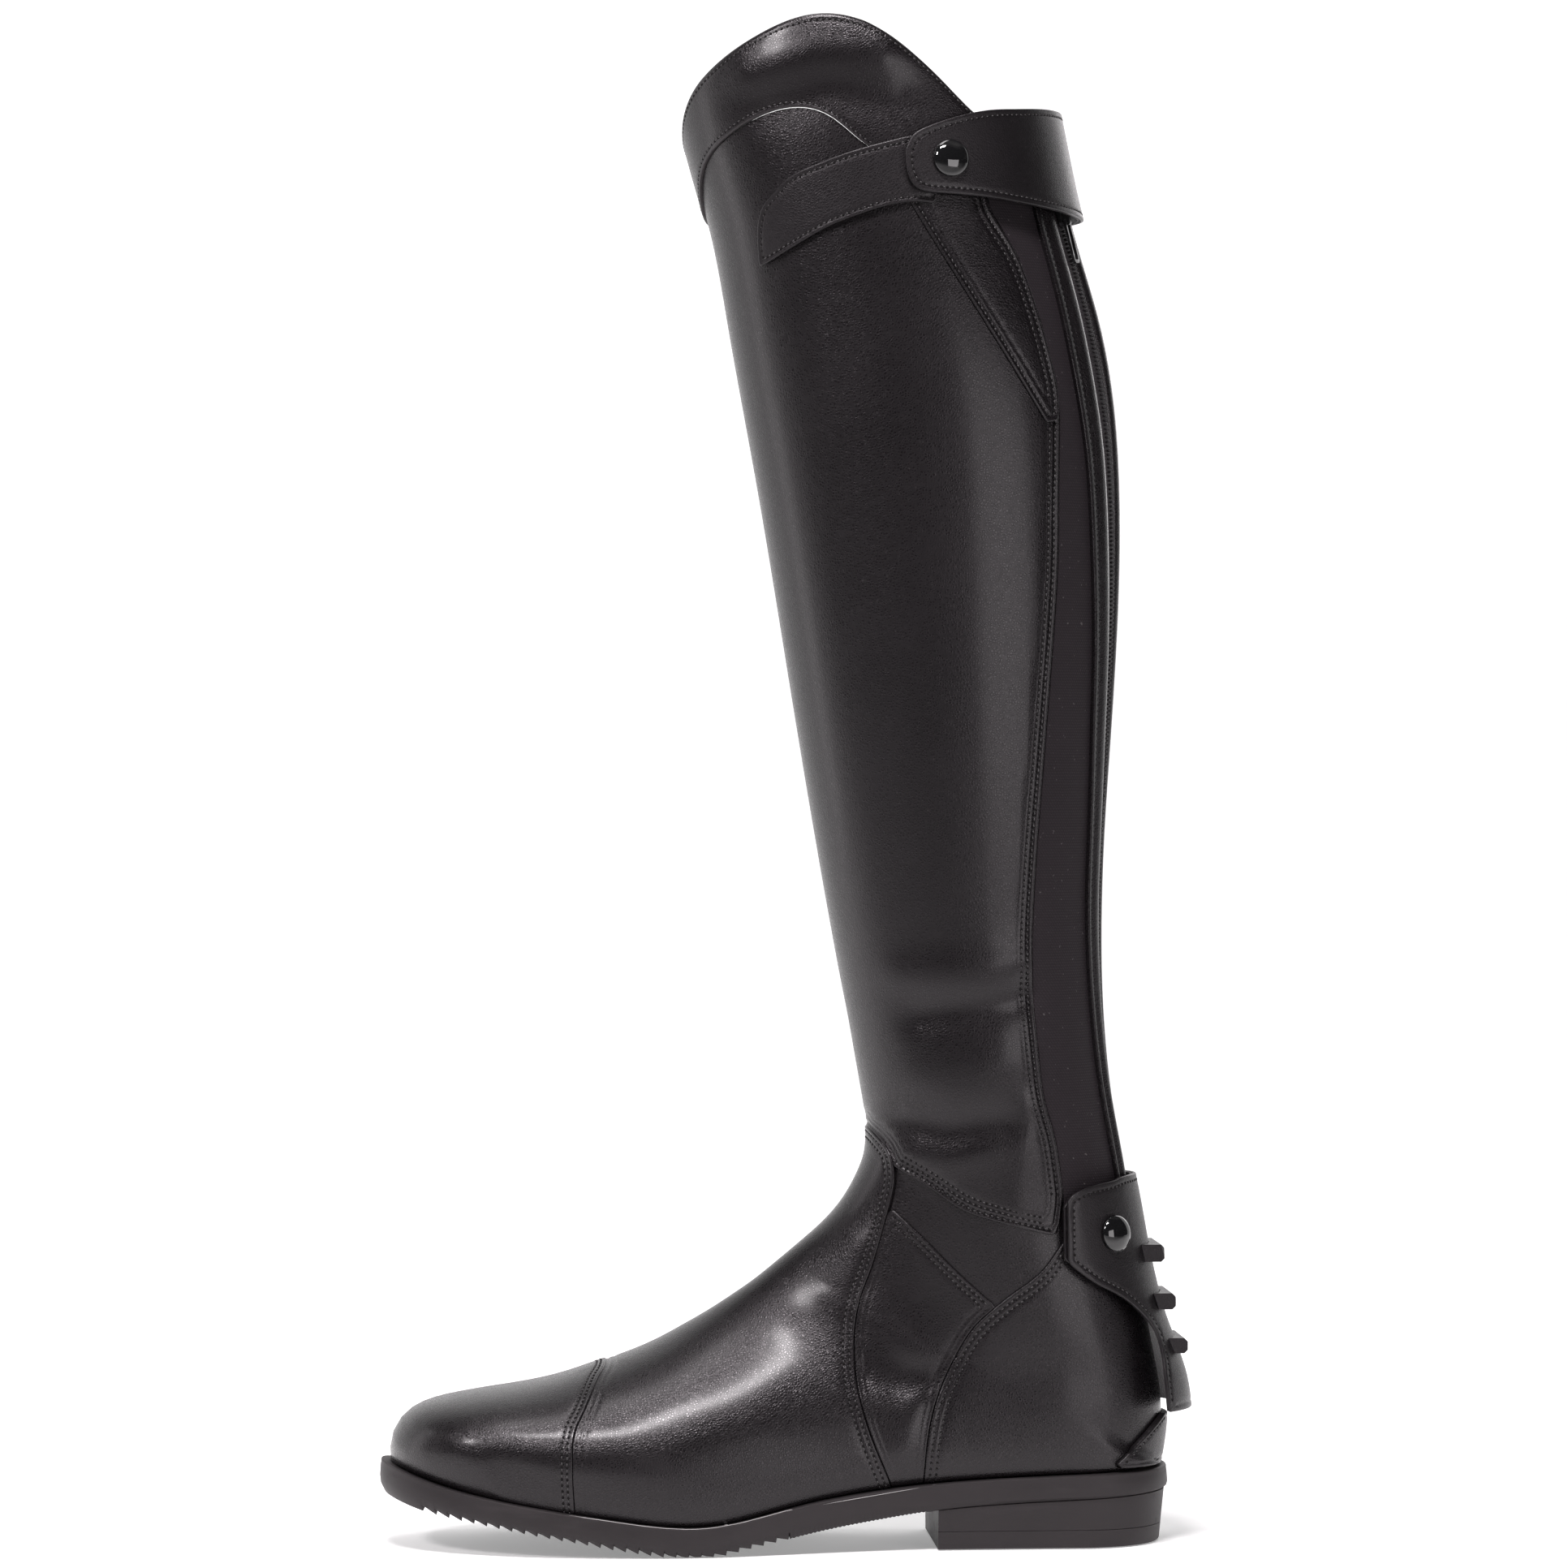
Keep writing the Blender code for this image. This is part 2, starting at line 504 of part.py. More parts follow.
def upper():
    """The hollow upper in one wall, open at the collar and underneath, doubled at the collar."""
    top = [edge_row(FACING, share, COLLAR) for share in (1.0, 0.93, 0.6, 0.25)]
    step = [edge_row(FACING, shift=-0.15), edge_row(FACING, shift=0.15)]
    travel = np.array(top + step + list(full_rows(body_rings())))
    high = np.full(travel.shape, BASE)
    low = np.full(travel.shape, BASE_INSIDE)
    high[: len(top) + 1], low[: len(top) + 1] = FACED, FACED_INSIDE
    high[0], low[0] = FACED - 0.45, FACED_INSIDE + 0.45
    return shell("upper", travel, AROUND[None, :], low, high, LEATHER)


def shaft_panel():
    """The shaft's leather in front of the stretch panel, from the facing down to the ankle seam."""
    rings = body_rings()
    rings = rings[(rings > LAST.at("garter") - 1) & (rings <= LAST.at("bend"))]
    travel = np.array([edge_row(FACING, shift=0.45)] + list(full_rows(rings)))
    made = shell("shaft_panel", travel, AROUND[None, :], UNDER, 0.0, LEATHER)
    front = offset(VAMP_EDGE[:3], GAP)[::-1]
    outline = GUSSET_EDGE + REAR_SEAM + ANKLE_SEAM + front + (Edge(-75, 147), Edge(-200, 200))
    return cut(made, prism("panel_cutter", outline + (Edge(-200, 520), Edge(-27.5, 520))))


def foot_pieces():
    """Toe cap, vamp, quarters and heel counter."""
    cap = offset(CAP_EDGE, -GAP / 2) + (Edge(-260, 5), Edge(-260, 90))
    skin("toe_cap", cap, UNDER, 1.1, "instep", "toe_tip")
    front = offset(CAP_EDGE, GAP / 2)[::-1]
    vamp = VAMP_EDGE + front + (Edge(-140, 90), Edge(-110, 120), Edge(-75, 150))
    skin("vamp", vamp, UNDER, 0.5, "ankle", "toe_root")
    seam = offset(VAMP_EDGE[4:], GAP)
    rear = offset(COUNTER_EDGE[2:], -GAP)
    quarter = QUARTER_EDGE + rear + seam[::-1]
    skin("quarter_outer", quarter, UNDER, -0.3, "throat", "cap_line", y_high=-2.0)
    skin("quarter_inner", quarter, UNDER, -0.3, "throat", "cap_line", y_low=2.0)
    counter = COUNTER_EDGE + (Edge(20, 5), Edge(28, 27), Edge(60, 27.4), Edge(60, 120), Edge(25, 118), Edge(10, 111.5))
    skin("heel_counter", counter, UNDER, 0.0, "ankle", "waist")


def zip_pieces():
    """The zip's two facings and its tape, which run down the back of the shaft."""
    edge = Curve([row.travel for row in ZIP_EDGE], [row.around for row in ZIP_EDGE])
    rings = body_rings()
    rings = rings[(rings > LAST.at("garter") - 1) & (rings < LAST.at("throat") + 12)]
    rings = np.concatenate([[66.0], rings])
    looks = (("zip_facing_outer", 0.8, 0), ("zip_tape", -0.45, 1), ("zip_facing_inner", 0.8, 2))
    columns = AROUND[1] * np.arange(-4, 5)
    for name, high, k in looks:
        made = shell(name, np.repeat(rings[:, None], len(columns), 1), columns[None, :], UNDER, high, LEATHER)
        travel = np.linspace(66.5, LAST.at("throat") + 6, 24)
        start, end = ZIP_WIDTHS[k] + 0.0006, ZIP_WIDTHS[k + 1] - 0.0006
        way = edge(travel)[:, None] - np.linspace(start, end, 4)[None, :]
        cutter = shell(name + "_cutter", np.repeat(travel[:, None], 4, 1), way, -3.0, 3.0, LEATHER)
        cut(made, cutter)


def straps():
    """Leaf tab, gusset, top strap, spur flap with its under tab, spur rests and heel strip."""
    skin("leaf_tab", LEAF, 1.2, 2.1, "collar", "calf", y_high=0.0)
    gusset = offset(GUSSET_EDGE, -0.1) + REAR_SEAM[:1] + (Edge(-3.8, 388), Edge(-50.8, 461.5))
    skin("top_gusset", gusset + (Edge(-53, 471),), GAP, 1.0, "collar", "calf_low", y_high=0.0)

    heights = np.array([452.0, 464.0, 477.0, 490.0, 504.0])
    columns = AROUND[1] * np.arange(-3, 8)
    outside = STRAP_LIFT(columns)[None, :] + np.zeros((len(heights), 1))
    travel = np.repeat(LAST.travel_at_height(heights)[::-1, None], len(columns), 1)
    made = shell("top_strap", travel, columns[None, :], outside - STRAP_THICK, outside, LEATHER)
    cut(made, prism("strap_cutter", STRAP))

    rings = body_rings()
    rings = rings[(rings > LAST.at("ankle")) & (rings < LAST.at("heel") - 4)]
    columns = AROUND[1] * np.arange(-5, 6)
    grid = np.repeat(rings[:, None], len(columns), 1)
    height = LAST.point(grid, np.mod(columns[None, :], 1))[..., 2]
    outside = FLAP_LIFT(height)
    made = shell("spur_flap", grid, columns[None, :], outside - FLAP_THICK, outside, LEATHER)
    cut(made, prism("flap_cutter", FLAP))
    under = offset(FLAP[:1] + FLAP[-1:], -1.1) + (Edge(12, 96), Edge(26, 90), Edge(26, 122))
    inner = outside - FLAP_THICK - GAP
    made = shell("spur_flap_lining", grid, columns[None, :], inner - 1.3, inner, LEATHER)
    cut(made, prism("lining_cutter", under, y_high=0.0))
    columns = AROUND[1] * np.arange(-2, 3)
    for k, rest in enumerate(RESTS, 1):
        grid = np.repeat(rings[:, None], len(columns), 1)
        height = LAST.point(grid, np.mod(columns[None, :], 1))[..., 2]
        low = FLAP_LIFT(height) + GAP
        made = shell(f"spur_rest_{k}", grid, columns[None, :], low, low + 6, LEATHER)
        low, high, back = rest
        side = (
            Edge(0, low), Edge(back - 1.2, low), Edge(back, low + 1.2),
            Edge(back, high - 1.2), Edge(back - 1.2, high), Edge(0, high),
        )
        cut(made, prism(f"rest_cutter_{k}", side, -15.0, 15.0))
    skin("heel_strip", HEEL_STRIP, GAP, 2.3, "throat", "waist")


class Spot(NamedTuple):
    """A place on the boot: an origin and the unit axes across, down and outwards."""

    origin: np.ndarray
    across: np.ndarray
    down: np.ndarray
    out: np.ndarray

    def points(self, rows):
        """Points given as (across, down, out)."""
        rows = np.asarray(rows, float)
        return self.origin + rows @ np.stack([self.across, self.down, self.out])


def spot(height, around):
    """The place at this height above the floor and this way round the shaft or the heel."""
    travel = np.linspace(0, LAST.at("seat"), 2000)
    heights = LAST.point(travel, around)[..., 2]
    travel = np.interp(-height, -heights, travel)
    origin = LAST.point(travel, around)
    out = LAST.lifted(travel, around, 1.0) - origin
    down = LAST.point(travel + 1, around) - LAST.point(travel - 1, around)
    down -= out * (down @ out)
    down /= np.linalg.norm(down)
    return Spot(origin, np.cross(down, out), down, out)


def dome(name, place, radius, low, high, look):
    """A snap's cap: a round rim and a low dome."""
    profile = ((radius - 0.3, 0), (radius, 0.12), (radius, 0.3), (radius * 0.88, 0.62),
               (radius * 0.62, 0.86), (radius * 0.3, 0.97))
    turns = np.linspace(0, 2 * math.pi, 21)[:-1]
    rows = [(r * math.cos(t), r * math.sin(t), low + (high - low) * h) for r, h in profile for t in turns]
    count = len(turns)
    faces = [list(range(count)), [(len(profile) - 1) * count + k for k in range(count)][::-1]]
    for i in range(len(profile) - 1):
        for k in range(count):
            a, b = i * count + k, i * count + (k + 1) % count
            faces.append([b, a, a + count, b + count])
    return solid(name, place.points(rows), faces, look, 30)


def plate(name, place, outline, low, high, look, sideways=False):
    """An outline in (across, down) raised from low to high, or in (down, out) drawn across."""
    count = len(outline)
    rows = [(h, *p) if sideways else (*p, h) for h in (low, high) for p in outline]
    faces = [list(range(count)), [count + k for k in reversed(range(count))]]
    faces += [[(k + 1) % count, k, count + k, count + (k + 1) % count] for k in range(count)]
    return solid(name, place.points(rows), faces, look, 30)


SNAP_RADIUS = 6.4
SLIDER_HEIGHT, SLIDER_AROUND = 462.5, 0.052
PULL_PIN = (3.4, 1.85)  # the pull tab's pin below the slider's middle, and out from the last
PULL_LENGTH, PULL_WIDTH, PULL_BAR = 15.0, 5.8, 1.0


def hardware():
    """Two snaps, and the zip's slider with its pull tab."""
    dome("strap_snap", spot(477.2, 0.197), SNAP_RADIUS, 5.9, 8.3, GLOSS)
    dome("flap_snap", spot(107.8, 0.108), SNAP_RADIUS, 6.0, 8.4, GLOSS)
    place = spot(SLIDER_HEIGHT, SLIDER_AROUND)
    body = ((-2.2, -5), (2.2, -5), (3.5, -3.2), (3.5, 3.6), (2.6, 5), (-2.6, 5), (-3.5, 3.6), (-3.5, -3.2))
    slider = plate("zip_slider", place, body, -0.1, 1.2, METAL)
    arch = ((-4.3, 1.0), (-4.3, 2.7), (-3.7, 3.3), (4.2, 3.3), (4.8, 2.7), (4.8, 1.0),
            (4.2, 1.0), (4.2, 2.6), (-3.4, 2.6), (-3.4, 1.0))
    cut(slider, plate("bridge", place, arch, -1.1, 1.1, METAL, sideways=True), "UNION")
    slider.data.materials[0] = material(*METAL)
    pin, out = PULL_PIN
    half, end = PULL_WIDTH / 2, pin + PULL_LENGTH
    rim = ((-half, pin - 0.5), (half, pin - 0.5), (half, end - 1), (half - 1, end), (1 - half, end), (-half, end - 1))
    tab = plate("zip_pull_tab", place, rim, out - 0.45, out + 0.45, METAL)
    hole = half - PULL_BAR
    gap = ((-hole, pin + 0.5), (hole, pin + 0.5), (hole, end - 1.3), (-hole, end - 1.3))
    cut(tab, plate("gap", place, gap, out - 2, out + 2, METAL), "DIFFERENCE")
    tab.data.materials[0] = material(*METAL)
    pivot = place.points([(0, pin, out)])[0]
    print("pull tab pivot mm", np.round(pivot, 3), "axis", np.round(place.across, 4))
    print("pull tab down", np.round(place.down, 4), "out", np.round(place.out, 4))


def slab(name, stations, levels, look):
    """A plate whose outline follows the feather line; levels are (margin, height function)."""
    points, faces = [], []
    for margin, height in levels:
        toe = (BALL_X - FEATHER_TOE + margin) / (BALL_X - FEATHER_TOE)
        heel = (FEATHER_HEEL - HEEL_ROUND_X + margin) / (FEATHER_HEEL - HEEL_ROUND_X)
        x = np.where(stations < BALL_X, BALL_X + (stations - BALL_X) * toe, stations)
        x = np.where(x > HEEL_ROUND_X, HEEL_ROUND_X + (x - HEEL_ROUND_X) * heel, x)
        z = height(x)
        for side in (-1, 1):
            points += list(np.stack([x, side * feather_half(x, side, margin), z], -1))
    count, tops = len(stations), len(levels) - 1
    for k in range(count - 1):
        for level, turn in ((0, 1), (tops, -1)):
            a = 2 * level * count + k
            faces.append([a, a + 1, a + count + 1, a + count][::turn])
        for level in range(tops):
            for side in (0, 1):
                a = (2 * level + side) * count + k
                faces.append([a, a + 1, a + 1 + 2 * count, a + 2 * count][:: 1 - 2 * side])
    for k in (0, count - 1):
        ring = [(2 * level) * count + k for level in range(tops + 1)]
        ring += [(2 * level + 1) * count + k for level in reversed(range(tops + 1))]
        faces.append(ring)
    return solid(name, points, faces, look)


def spread(low, high, count, round_low=True, round_high=True):
    """Stations between two ends, closer together towards a round end."""
    share = np.linspace(0, 1, count)
    if round_low and round_high:
        share = (1 - np.cos(share * math.pi)) / 2
    elif round_high:
        share = np.sin(share * math.pi / 2)
    return low + (high - low) * share


TOOTH_PITCH, TOOTH_DEPTH = 4.3, 1.5
TREAD_FRONT, TREAD_BACK = -217.0, -92.0


def tread(x):
    """Height of the sole's under face with its saw teeth."""
    place = np.mod(x - TREAD_FRONT, TOOTH_PITCH) / (TOOTH_PITCH - 0.3)
    root = np.where(place <= 1, 1 - place, (place - 1) * (TOOTH_PITCH - 0.3) / 0.3)
    toothed = (x > TREAD_FRONT) & (x < TREAD_BACK)
    return np.maximum(TREAD(x) + np.where(toothed, TOOTH_DEPTH * root, 0), 0)


def sole_pieces():
    """Outsole, insole, heel block and the heel's top piece."""
    under = 3.4
    teeth = np.arange(TREAD_FRONT, TREAD_BACK, TOOTH_PITCH)
    toe = (BALL_X - FEATHER_TOE) / (BALL_X - FEATHER_TOE + under)
    grounded = teeth[(teeth > -138) & (teeth < -117)]  # these teeth have a flat crest
    steps = np.concatenate([teeth + 0.001, teeth + TOOTH_PITCH - 0.3, grounded + 1.5])
    steps = np.where(steps < BALL_X, BALL_X + (steps - BALL_X) * toe, steps)
    ends = [spread(FEATHER_TOE, FEATHER_HEEL, 44)]
    smooth = ends[0][np.abs(ends[0][:, None] - steps[None, :]).min(1) > 0.3]
    stations = np.unique(np.round(np.concatenate([smooth, steps]), 2))
    rim = SOLE_MARGIN
    levels = (
        (rim - 0.7, SOLE_TOP),
        (rim, lambda x: SOLE_TOP(x) - 0.8),
        (rim + 0.4, lambda x: SOLE_TOP(x) - 6.4),
        (under, tread),
    )
    slab("outsole", stations, levels, RUBBER)
    inside = spread(FEATHER_TOE, FEATHER_HEEL, 40)
    slab(
        "insole",
        inside,
        ((-4.9, lambda x: SOLE_TOP(x) + 3.0), (-4.9, lambda x: SOLE_TOP(x) + GAP)),
        LINING,
    )
    heel = spread(HEEL_BREAST_X, FEATHER_HEEL, 22, round_low=False)
    margin = SOLE_MARGIN - HEEL_INSET
    slab(
        "heel_block",
        heel,
        ((margin, lambda x: TREAD(x) - GAP), (margin - 1.2, lambda x: 0 * x + HEEL_PIECE + GAP)),
        RUBBER,
    )
    slab(
        "heel_top_piece",
        heel,
        ((margin - 1.2, lambda x: 0 * x + HEEL_PIECE), (margin - 2.0, lambda x: 0 * x)),
        RUBBER,
    )


def main():
    for old in list(bpy.data.objects):
        bpy.data.objects.remove(old)
    upper()
    sole_pieces()
    shaft_panel()
    foot_pieces()
    zip_pieces()
    straps()
    hardware()


main()
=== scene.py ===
"""Looks of the left dress riding boot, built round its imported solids.

The toe points along -X, the outer side of the leg lies towards -Y and +Z is up. Tables and sizes
are in millimetres, like the part's own; meshes are made in metres.
"""

from __future__ import annotations

import json
import logging
import math
from dataclasses import dataclass, field, replace
from enum import Enum
from typing import Callable, NamedTuple, Sequence

import bmesh
import bpy
import numpy as np
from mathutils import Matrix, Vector

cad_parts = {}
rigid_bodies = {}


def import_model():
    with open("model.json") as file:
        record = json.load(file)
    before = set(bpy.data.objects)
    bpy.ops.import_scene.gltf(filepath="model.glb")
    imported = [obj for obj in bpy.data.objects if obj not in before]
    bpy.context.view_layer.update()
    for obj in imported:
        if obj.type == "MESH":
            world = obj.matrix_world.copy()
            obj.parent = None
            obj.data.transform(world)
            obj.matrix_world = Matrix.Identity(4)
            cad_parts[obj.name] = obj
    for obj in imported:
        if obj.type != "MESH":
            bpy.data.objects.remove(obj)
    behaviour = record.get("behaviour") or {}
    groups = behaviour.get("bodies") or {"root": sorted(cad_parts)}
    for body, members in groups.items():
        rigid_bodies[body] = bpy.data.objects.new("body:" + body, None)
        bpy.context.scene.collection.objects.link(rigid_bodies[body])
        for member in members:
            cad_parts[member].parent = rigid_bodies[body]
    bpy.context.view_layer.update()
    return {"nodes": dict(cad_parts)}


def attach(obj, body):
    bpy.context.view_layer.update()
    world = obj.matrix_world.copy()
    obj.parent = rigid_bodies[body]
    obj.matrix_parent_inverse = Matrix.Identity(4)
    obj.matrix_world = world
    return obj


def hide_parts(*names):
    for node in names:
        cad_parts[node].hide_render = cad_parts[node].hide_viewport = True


LOG = logging.getLogger("boot")
MM = 0.001

Array = np.ndarray
Line = Sequence[tuple[float, float]]
Rule = Callable[[Array], Array]
LiftRule = Callable[[Array, Array], Array]
Lift = float | LiftRule
Triple = tuple[float, float, float]

# Driving dimensions of the part, in millimetres.
GAP = 0.3
FEATHER_TOE, FEATHER_HEEL = -228.0, 38.0
BALL_X, HEEL_ROUND_X = -150.0, 8.0
TOE_SQUARENESS, HEEL_SQUARENESS = 2.2, 2.1
TOE_TIP_Y = 3.0
SOLE_MARGIN, HEEL_INSET = 4.6, 2.6
HEEL_BREAST_X, HEEL_PIECE = -40.4, 6.0
BASE, BASE_INSIDE = -1.2, -3.4
UNDER = BASE + GAP
FACED, FACED_INSIDE = 1.1, -1.4
FACET = 1 / 26
SIDE_BLEND = 2.5  # over this distance a fold on one side of the leg fades out
ROOT_HEIGHT = 12.0  # over this height above the sole the form turns from level to its own slope
STITCH = 2.1  # pitch of the thread rows
# The second size is of the near-black bead at each needle hole, which paints the hole's shade.
THREAD_SIZE, PAINTED_HOLE_SHADE_SIZE = (1.3, 0.55, 0.44), (1.2, 1.1, 0.46)
PATH_SPACING = 0.35
BOOT = "boot"  # the body that every piece made here rides on


class Slot(Enum):
    """The record's material slots."""

    LEATHER = "black_leather"
    WEBBING = "black_webbing"
    LINING = "lining_leather"
    RUBBER = "black_rubber"
    GLOSS = "gloss_black"
    METAL = "black_metal"


class Side(Enum):
    """The sides of the leg on which a fold lies."""

    OUTER = -1
    INNER = 1
    BOTH = 0


class Curve:
    """A smooth curve through rows of (station, value): a cubic spline."""

    def __init__(
        self, stations: Sequence[float], values: Sequence[float], level_ends: bool = False
    ):
        """Solves the spline.

        Args:
            stations: Where the curve is given.
            values: Its values there.
            level_ends: Whether the curve ends level instead of straight.
        """
        order = np.argsort(stations)
        self.x = np.asarray(stations, float)[order]
        self.y = np.asarray(values, float)[order]
        step, rise = np.diff(self.x), np.diff(self.y)
        count = len(self.x)
        matrix, right = np.eye(count), np.zeros(count)
        for i in range(1, count - 1):
            matrix[i, i - 1 : i + 2] = step[i - 1], 2 * (step[i - 1] + step[i]), step[i]
            right[i] = 6 * (rise[i] / step[i] - rise[i - 1] / step[i - 1])
        if level_ends:
            matrix[0, :2] = 2 * step[0], step[0]
            right[0] = 6 * rise[0] / step[0]
            matrix[-1, -2:] = step[-1], 2 * step[-1]
            right[-1] = -6 * rise[-1] / step[-1]
        self.bend = np.linalg.solve(matrix, right)

    def __call__(self, at: Array | float) -> Array:
        """Values of the curve at these stations."""
        at = np.clip(at, self.x[0], self.x[-1])
        i = np.clip(np.searchsorted(self.x, at) - 1, 0, len(self.x) - 2)
        step = self.x[i + 1] - self.x[i]
        a, b = (self.x[i + 1] - at) / step, (at - self.x[i]) / step
        curved = (a**3 - a) * self.bend[i] + (b**3 - b) * self.bend[i + 1]
        return a * self.y[i] + b * self.y[i + 1] + curved * step**2 / 6


class Section(NamedTuple):
    """One cut through the boot, from its back or bottom to its front or top."""

    name: str
    front_x: float
    front_z: float
    back_x: float
    back_z: float
    outer: float
    inner: float
    belly: float
    split: float
    crown: float
    base: float
    ridge: float


ON_SOLE = 0.0
SECTIONS = (
    Section("crest", -133.5, 536, -9.0, 536, 49.0, 48.0, 60, 0.50, 2.05, 2.0, 0),
    Section("collar", -128.0, 495, -0.5, 495, 49.5, 48.5, 62, 0.50, 2.05, 2.0, 0),
    Section("garter", -117.4, 455, 8.3, 455, 50.0, 49.0, 63, 0.50, 2.05, 2.0, 0),
    Section("calf_top", -111.8, 425, 17.0, 425, 50.5, 49.0, 63, 0.50, 2.05, 2.0, 0),
    Section("calf", -101.5, 368, 23.9, 368, 49.5, 48.0, 61, 0.50, 2.05, 2.0, 0),
    Section("calf_low", -92.0, 311, 23.0, 311, 46.5, 45.0, 57, 0.50, 2.05, 2.0, 0),
    Section("shin", -82.6, 254, 19.6, 254, 42.0, 41.0, 51, 0.50, 2.05, 2.0, 0),
    Section("shin_low", -72.8, 199, 18.4, 199, 37.5, 36.5, 46, 0.50, 2.05, 2.0, 0),
    Section("ankle", -65.4, 159, 22.0, 156, 34.5, 33.5, 44, 0.50, 2.05, 2.0, 0),
    Section("throat", -63.1, 139, 25.8, 134, 33.0, 32.0, 45, 0.48, 2.1, 2.0, 0),
    Section("bend_high", -65.6, 129, 29.4, 112, 32.0, 31.0, 46, 0.46, 2.1, 2.0, 0),
    Section("bend", -70.6, 119.7, 33.0, 90, 31.6, 30.6, 47, 0.44, 2.1, 2.05, 0.5),
    Section("bend_low", -77.9, 110.9, 37.4, 66, 31.2, 30.4, 47, 0.42, 2.1, 2.1, 1),
    Section("heel_back", -85.6, 104, 40.2, 45, 31.0, 30.4, 46, 0.40, 2.1, 2.15, 1.5),
    Section("seat", -92.6, 98.1, FEATHER_HEEL, 0, 31.0, 30.4, 44, 0.38, 2.1, 2.2, 2),
    Section("heel", -99.4, 92.5, 27.0, ON_SOLE, 31.2, 30.4, 40, 0.36, 2.1, 2.2, 2.5),
    Section("shank", -108.2, 86.1, 3.0, ON_SOLE, 31.8, 30.2, 34, 0.33, 2.1, 2.2, 3),
    Section("arch", -117.6, 80.0, -30, ON_SOLE, 33.6, 29.6, 29, 0.30, 2.1, 2.1, 3),
    Section("waist", -128.2, 73.9, -65, ON_SOLE, 37.0, 31.0, 24, 0.28, 2.1, 2.0, 3),
    Section("instep", -141.4, 67.2, -97, ON_SOLE, 41.3, 36.0, 20, 0.26, 2.15, 2.0, 3),
    Section("ball", -158.4, 60.9, -125, ON_SOLE, 44.3, 40.3, 18, 0.25, 2.2, 2.0, 3),
    Section("cap_line", -174.2, 55.9, -150, ON_SOLE, 44.5, 41, 16, 0.25, 2.3, 2.0, 3),
    Section("cap", -189.6, 53.0, -172, ON_SOLE, 42.3, 39.2, 14, 0.25, 2.4, 2.0, 3),
    Section("toe_root", -202.8, 50.9, -190, ON_SOLE, 39, 36.7, 13, 0.25, 2.4, 2.0, 3),
    Section("toe_high", -213.8, 48.6, -190, ON_SOLE, 38.7, 36.2, 11, 0.22, 2.4, 2.0, 3),
    Section("toe_round", -222.4, 44.8, -190, ON_SOLE, 38.3, 36, 8, 0.18, 2.35, 2.0, 3),
    Section("toe_front", -227.4, 39.6, -190, ON_SOLE, 38.1, 35.8, 5, 0.13, 2.3, 2.0, 3),
    Section("toe_low", -228.9, 33.9, -190, ON_SOLE, 38, 35.6, 2.5, 0.08, 2.2, 2.0, 3),
    Section("toe_tip", FEATHER_TOE, 28.3, -190, ON_SOLE, 37.8, 35.4, 1, 0.04, 2.2, 2, 3),
)
NAMES = [section.name for section in SECTIONS]

SOLE_TOP = Curve(
    (-233, -223, -212, -200, -178, -151, -134, -121, -108, -89, -68, -45, 0, 42),
    (29.6, 26.4, 23.2, 20.4, 16.4, 12.2, 10.0, 9.8, 11.7, 16.2, 19.9, 22.5, 25.0, 26.4),
)
TREAD = Curve(
    (-234, -229, -218, -200, -178, -166, -151, -140, -129, -118, -107, -96, -85, -62, -45, 0, 42),
    (19, 17.4, 14.2, 10.9, 7.0, 5.0, 2.3, 0.6, -0.7, -0.4, 2.0, 4.4, 6.8, 10.8, 13.2, 16.4, 18.2),
)
FEATHER_OUTER = Curve(
    (-150, -125, -100, -72, -45, -15, 8), (43, 42.2, 38.6, 33.4, 29.8, 28.4, 28), True
)
FEATHER_INNER = Curve(
    (-150, -125, -100, -72, -45, -15, 8), (39.5, 37.2, 30.4, 24, 24.6, 27.4, 28), True
)
COLLAR = Curve(
    (0, 0.09, 0.16, 0.19, 0.22, 0.25, 0.29, 0.34, 0.38, 0.44, 0.5, 0.58, 0.68, 0.8, 0.92, 1),
    (491, 490.5, 494.5, 506.2, 517, 524.6, 527, 521, 514, 502.5, 489.5, 479, 473, 475, 486, 491),
)
FACING = Curve(
    (0, 0.15, 0.2, 0.235, 0.266, 0.286, 0.317, 0.35, 0.391, 0.457, 0.5, 0.6, 0.7, 0.8, 0.9, 1),
    (474, 474, 475, 477, 483, 491, 495.5, 493.6, 487.6, 475.5, 465, 459, 457, 460, 468, 474),
)

# Cut lines of the leather in the side view, as (x, z).
VAMP_EDGE = (
    (-64.1, 145), (-58.2, 138.6), (-55.8, 133.5), (-55.4, 124.8), (-58.5, 112.2), (-62.7, 97.6),
    (-67.2, 85.3), (-69.1, 73), (-68.4, 57), (-64.2, 40.7), (-57.1, 22.9), (-52, 8),
)
CAP_EDGE = (
    (-151, 72), (-154.4, 63.4), (-157.9, 58.3), (-162.3, 49.4), (-166.1, 41.1), (-166.7, 28.5),
    (-166.1, 17), (-165.6, 5),
)
COUNTER_EDGE = (
    (3, 105.3), (-5, 95.2), (-17.4, 85.9), (-27.9, 76.3), (-34.9, 64.9), (-40.4, 52.7),
    (-43.6, 40.4), (-45.2, 24.9), (-46, 5),
)
QUARTER_EDGE = ((-56.6, 117.9), (-44.3, 106.4), (-34.1, 96.2), (-21.5, 84.8))
ANKLE_SEAM = (
    (1.3, 107.9), (-5, 109.1), (-19.7, 112.9), (-31.9, 117), (-44.3, 125.2), (-55, 131.4),
)
REAR_SEAM = (
    (0.9, 389), (0.5, 362), (0, 333.5), (-3.3, 287.2), (-6.5, 245.3), (-8.1, 216.7),
    (-8.3, 202.5), (-7.7, 188.2), (-6.5, 176.1), (-4.1, 156.4), (0.3, 140.6), (3.1, 121.2),
)
GUSSET_EDGE = ((-25.4, 471), (-23.7, 461.3), (-13.6, 445.2), (-5.7, 423.4), (0.1, 401.4))
GUSSET_FRONT = ((-3.8, 388), (-50.8, 461.5), (-53, 471))
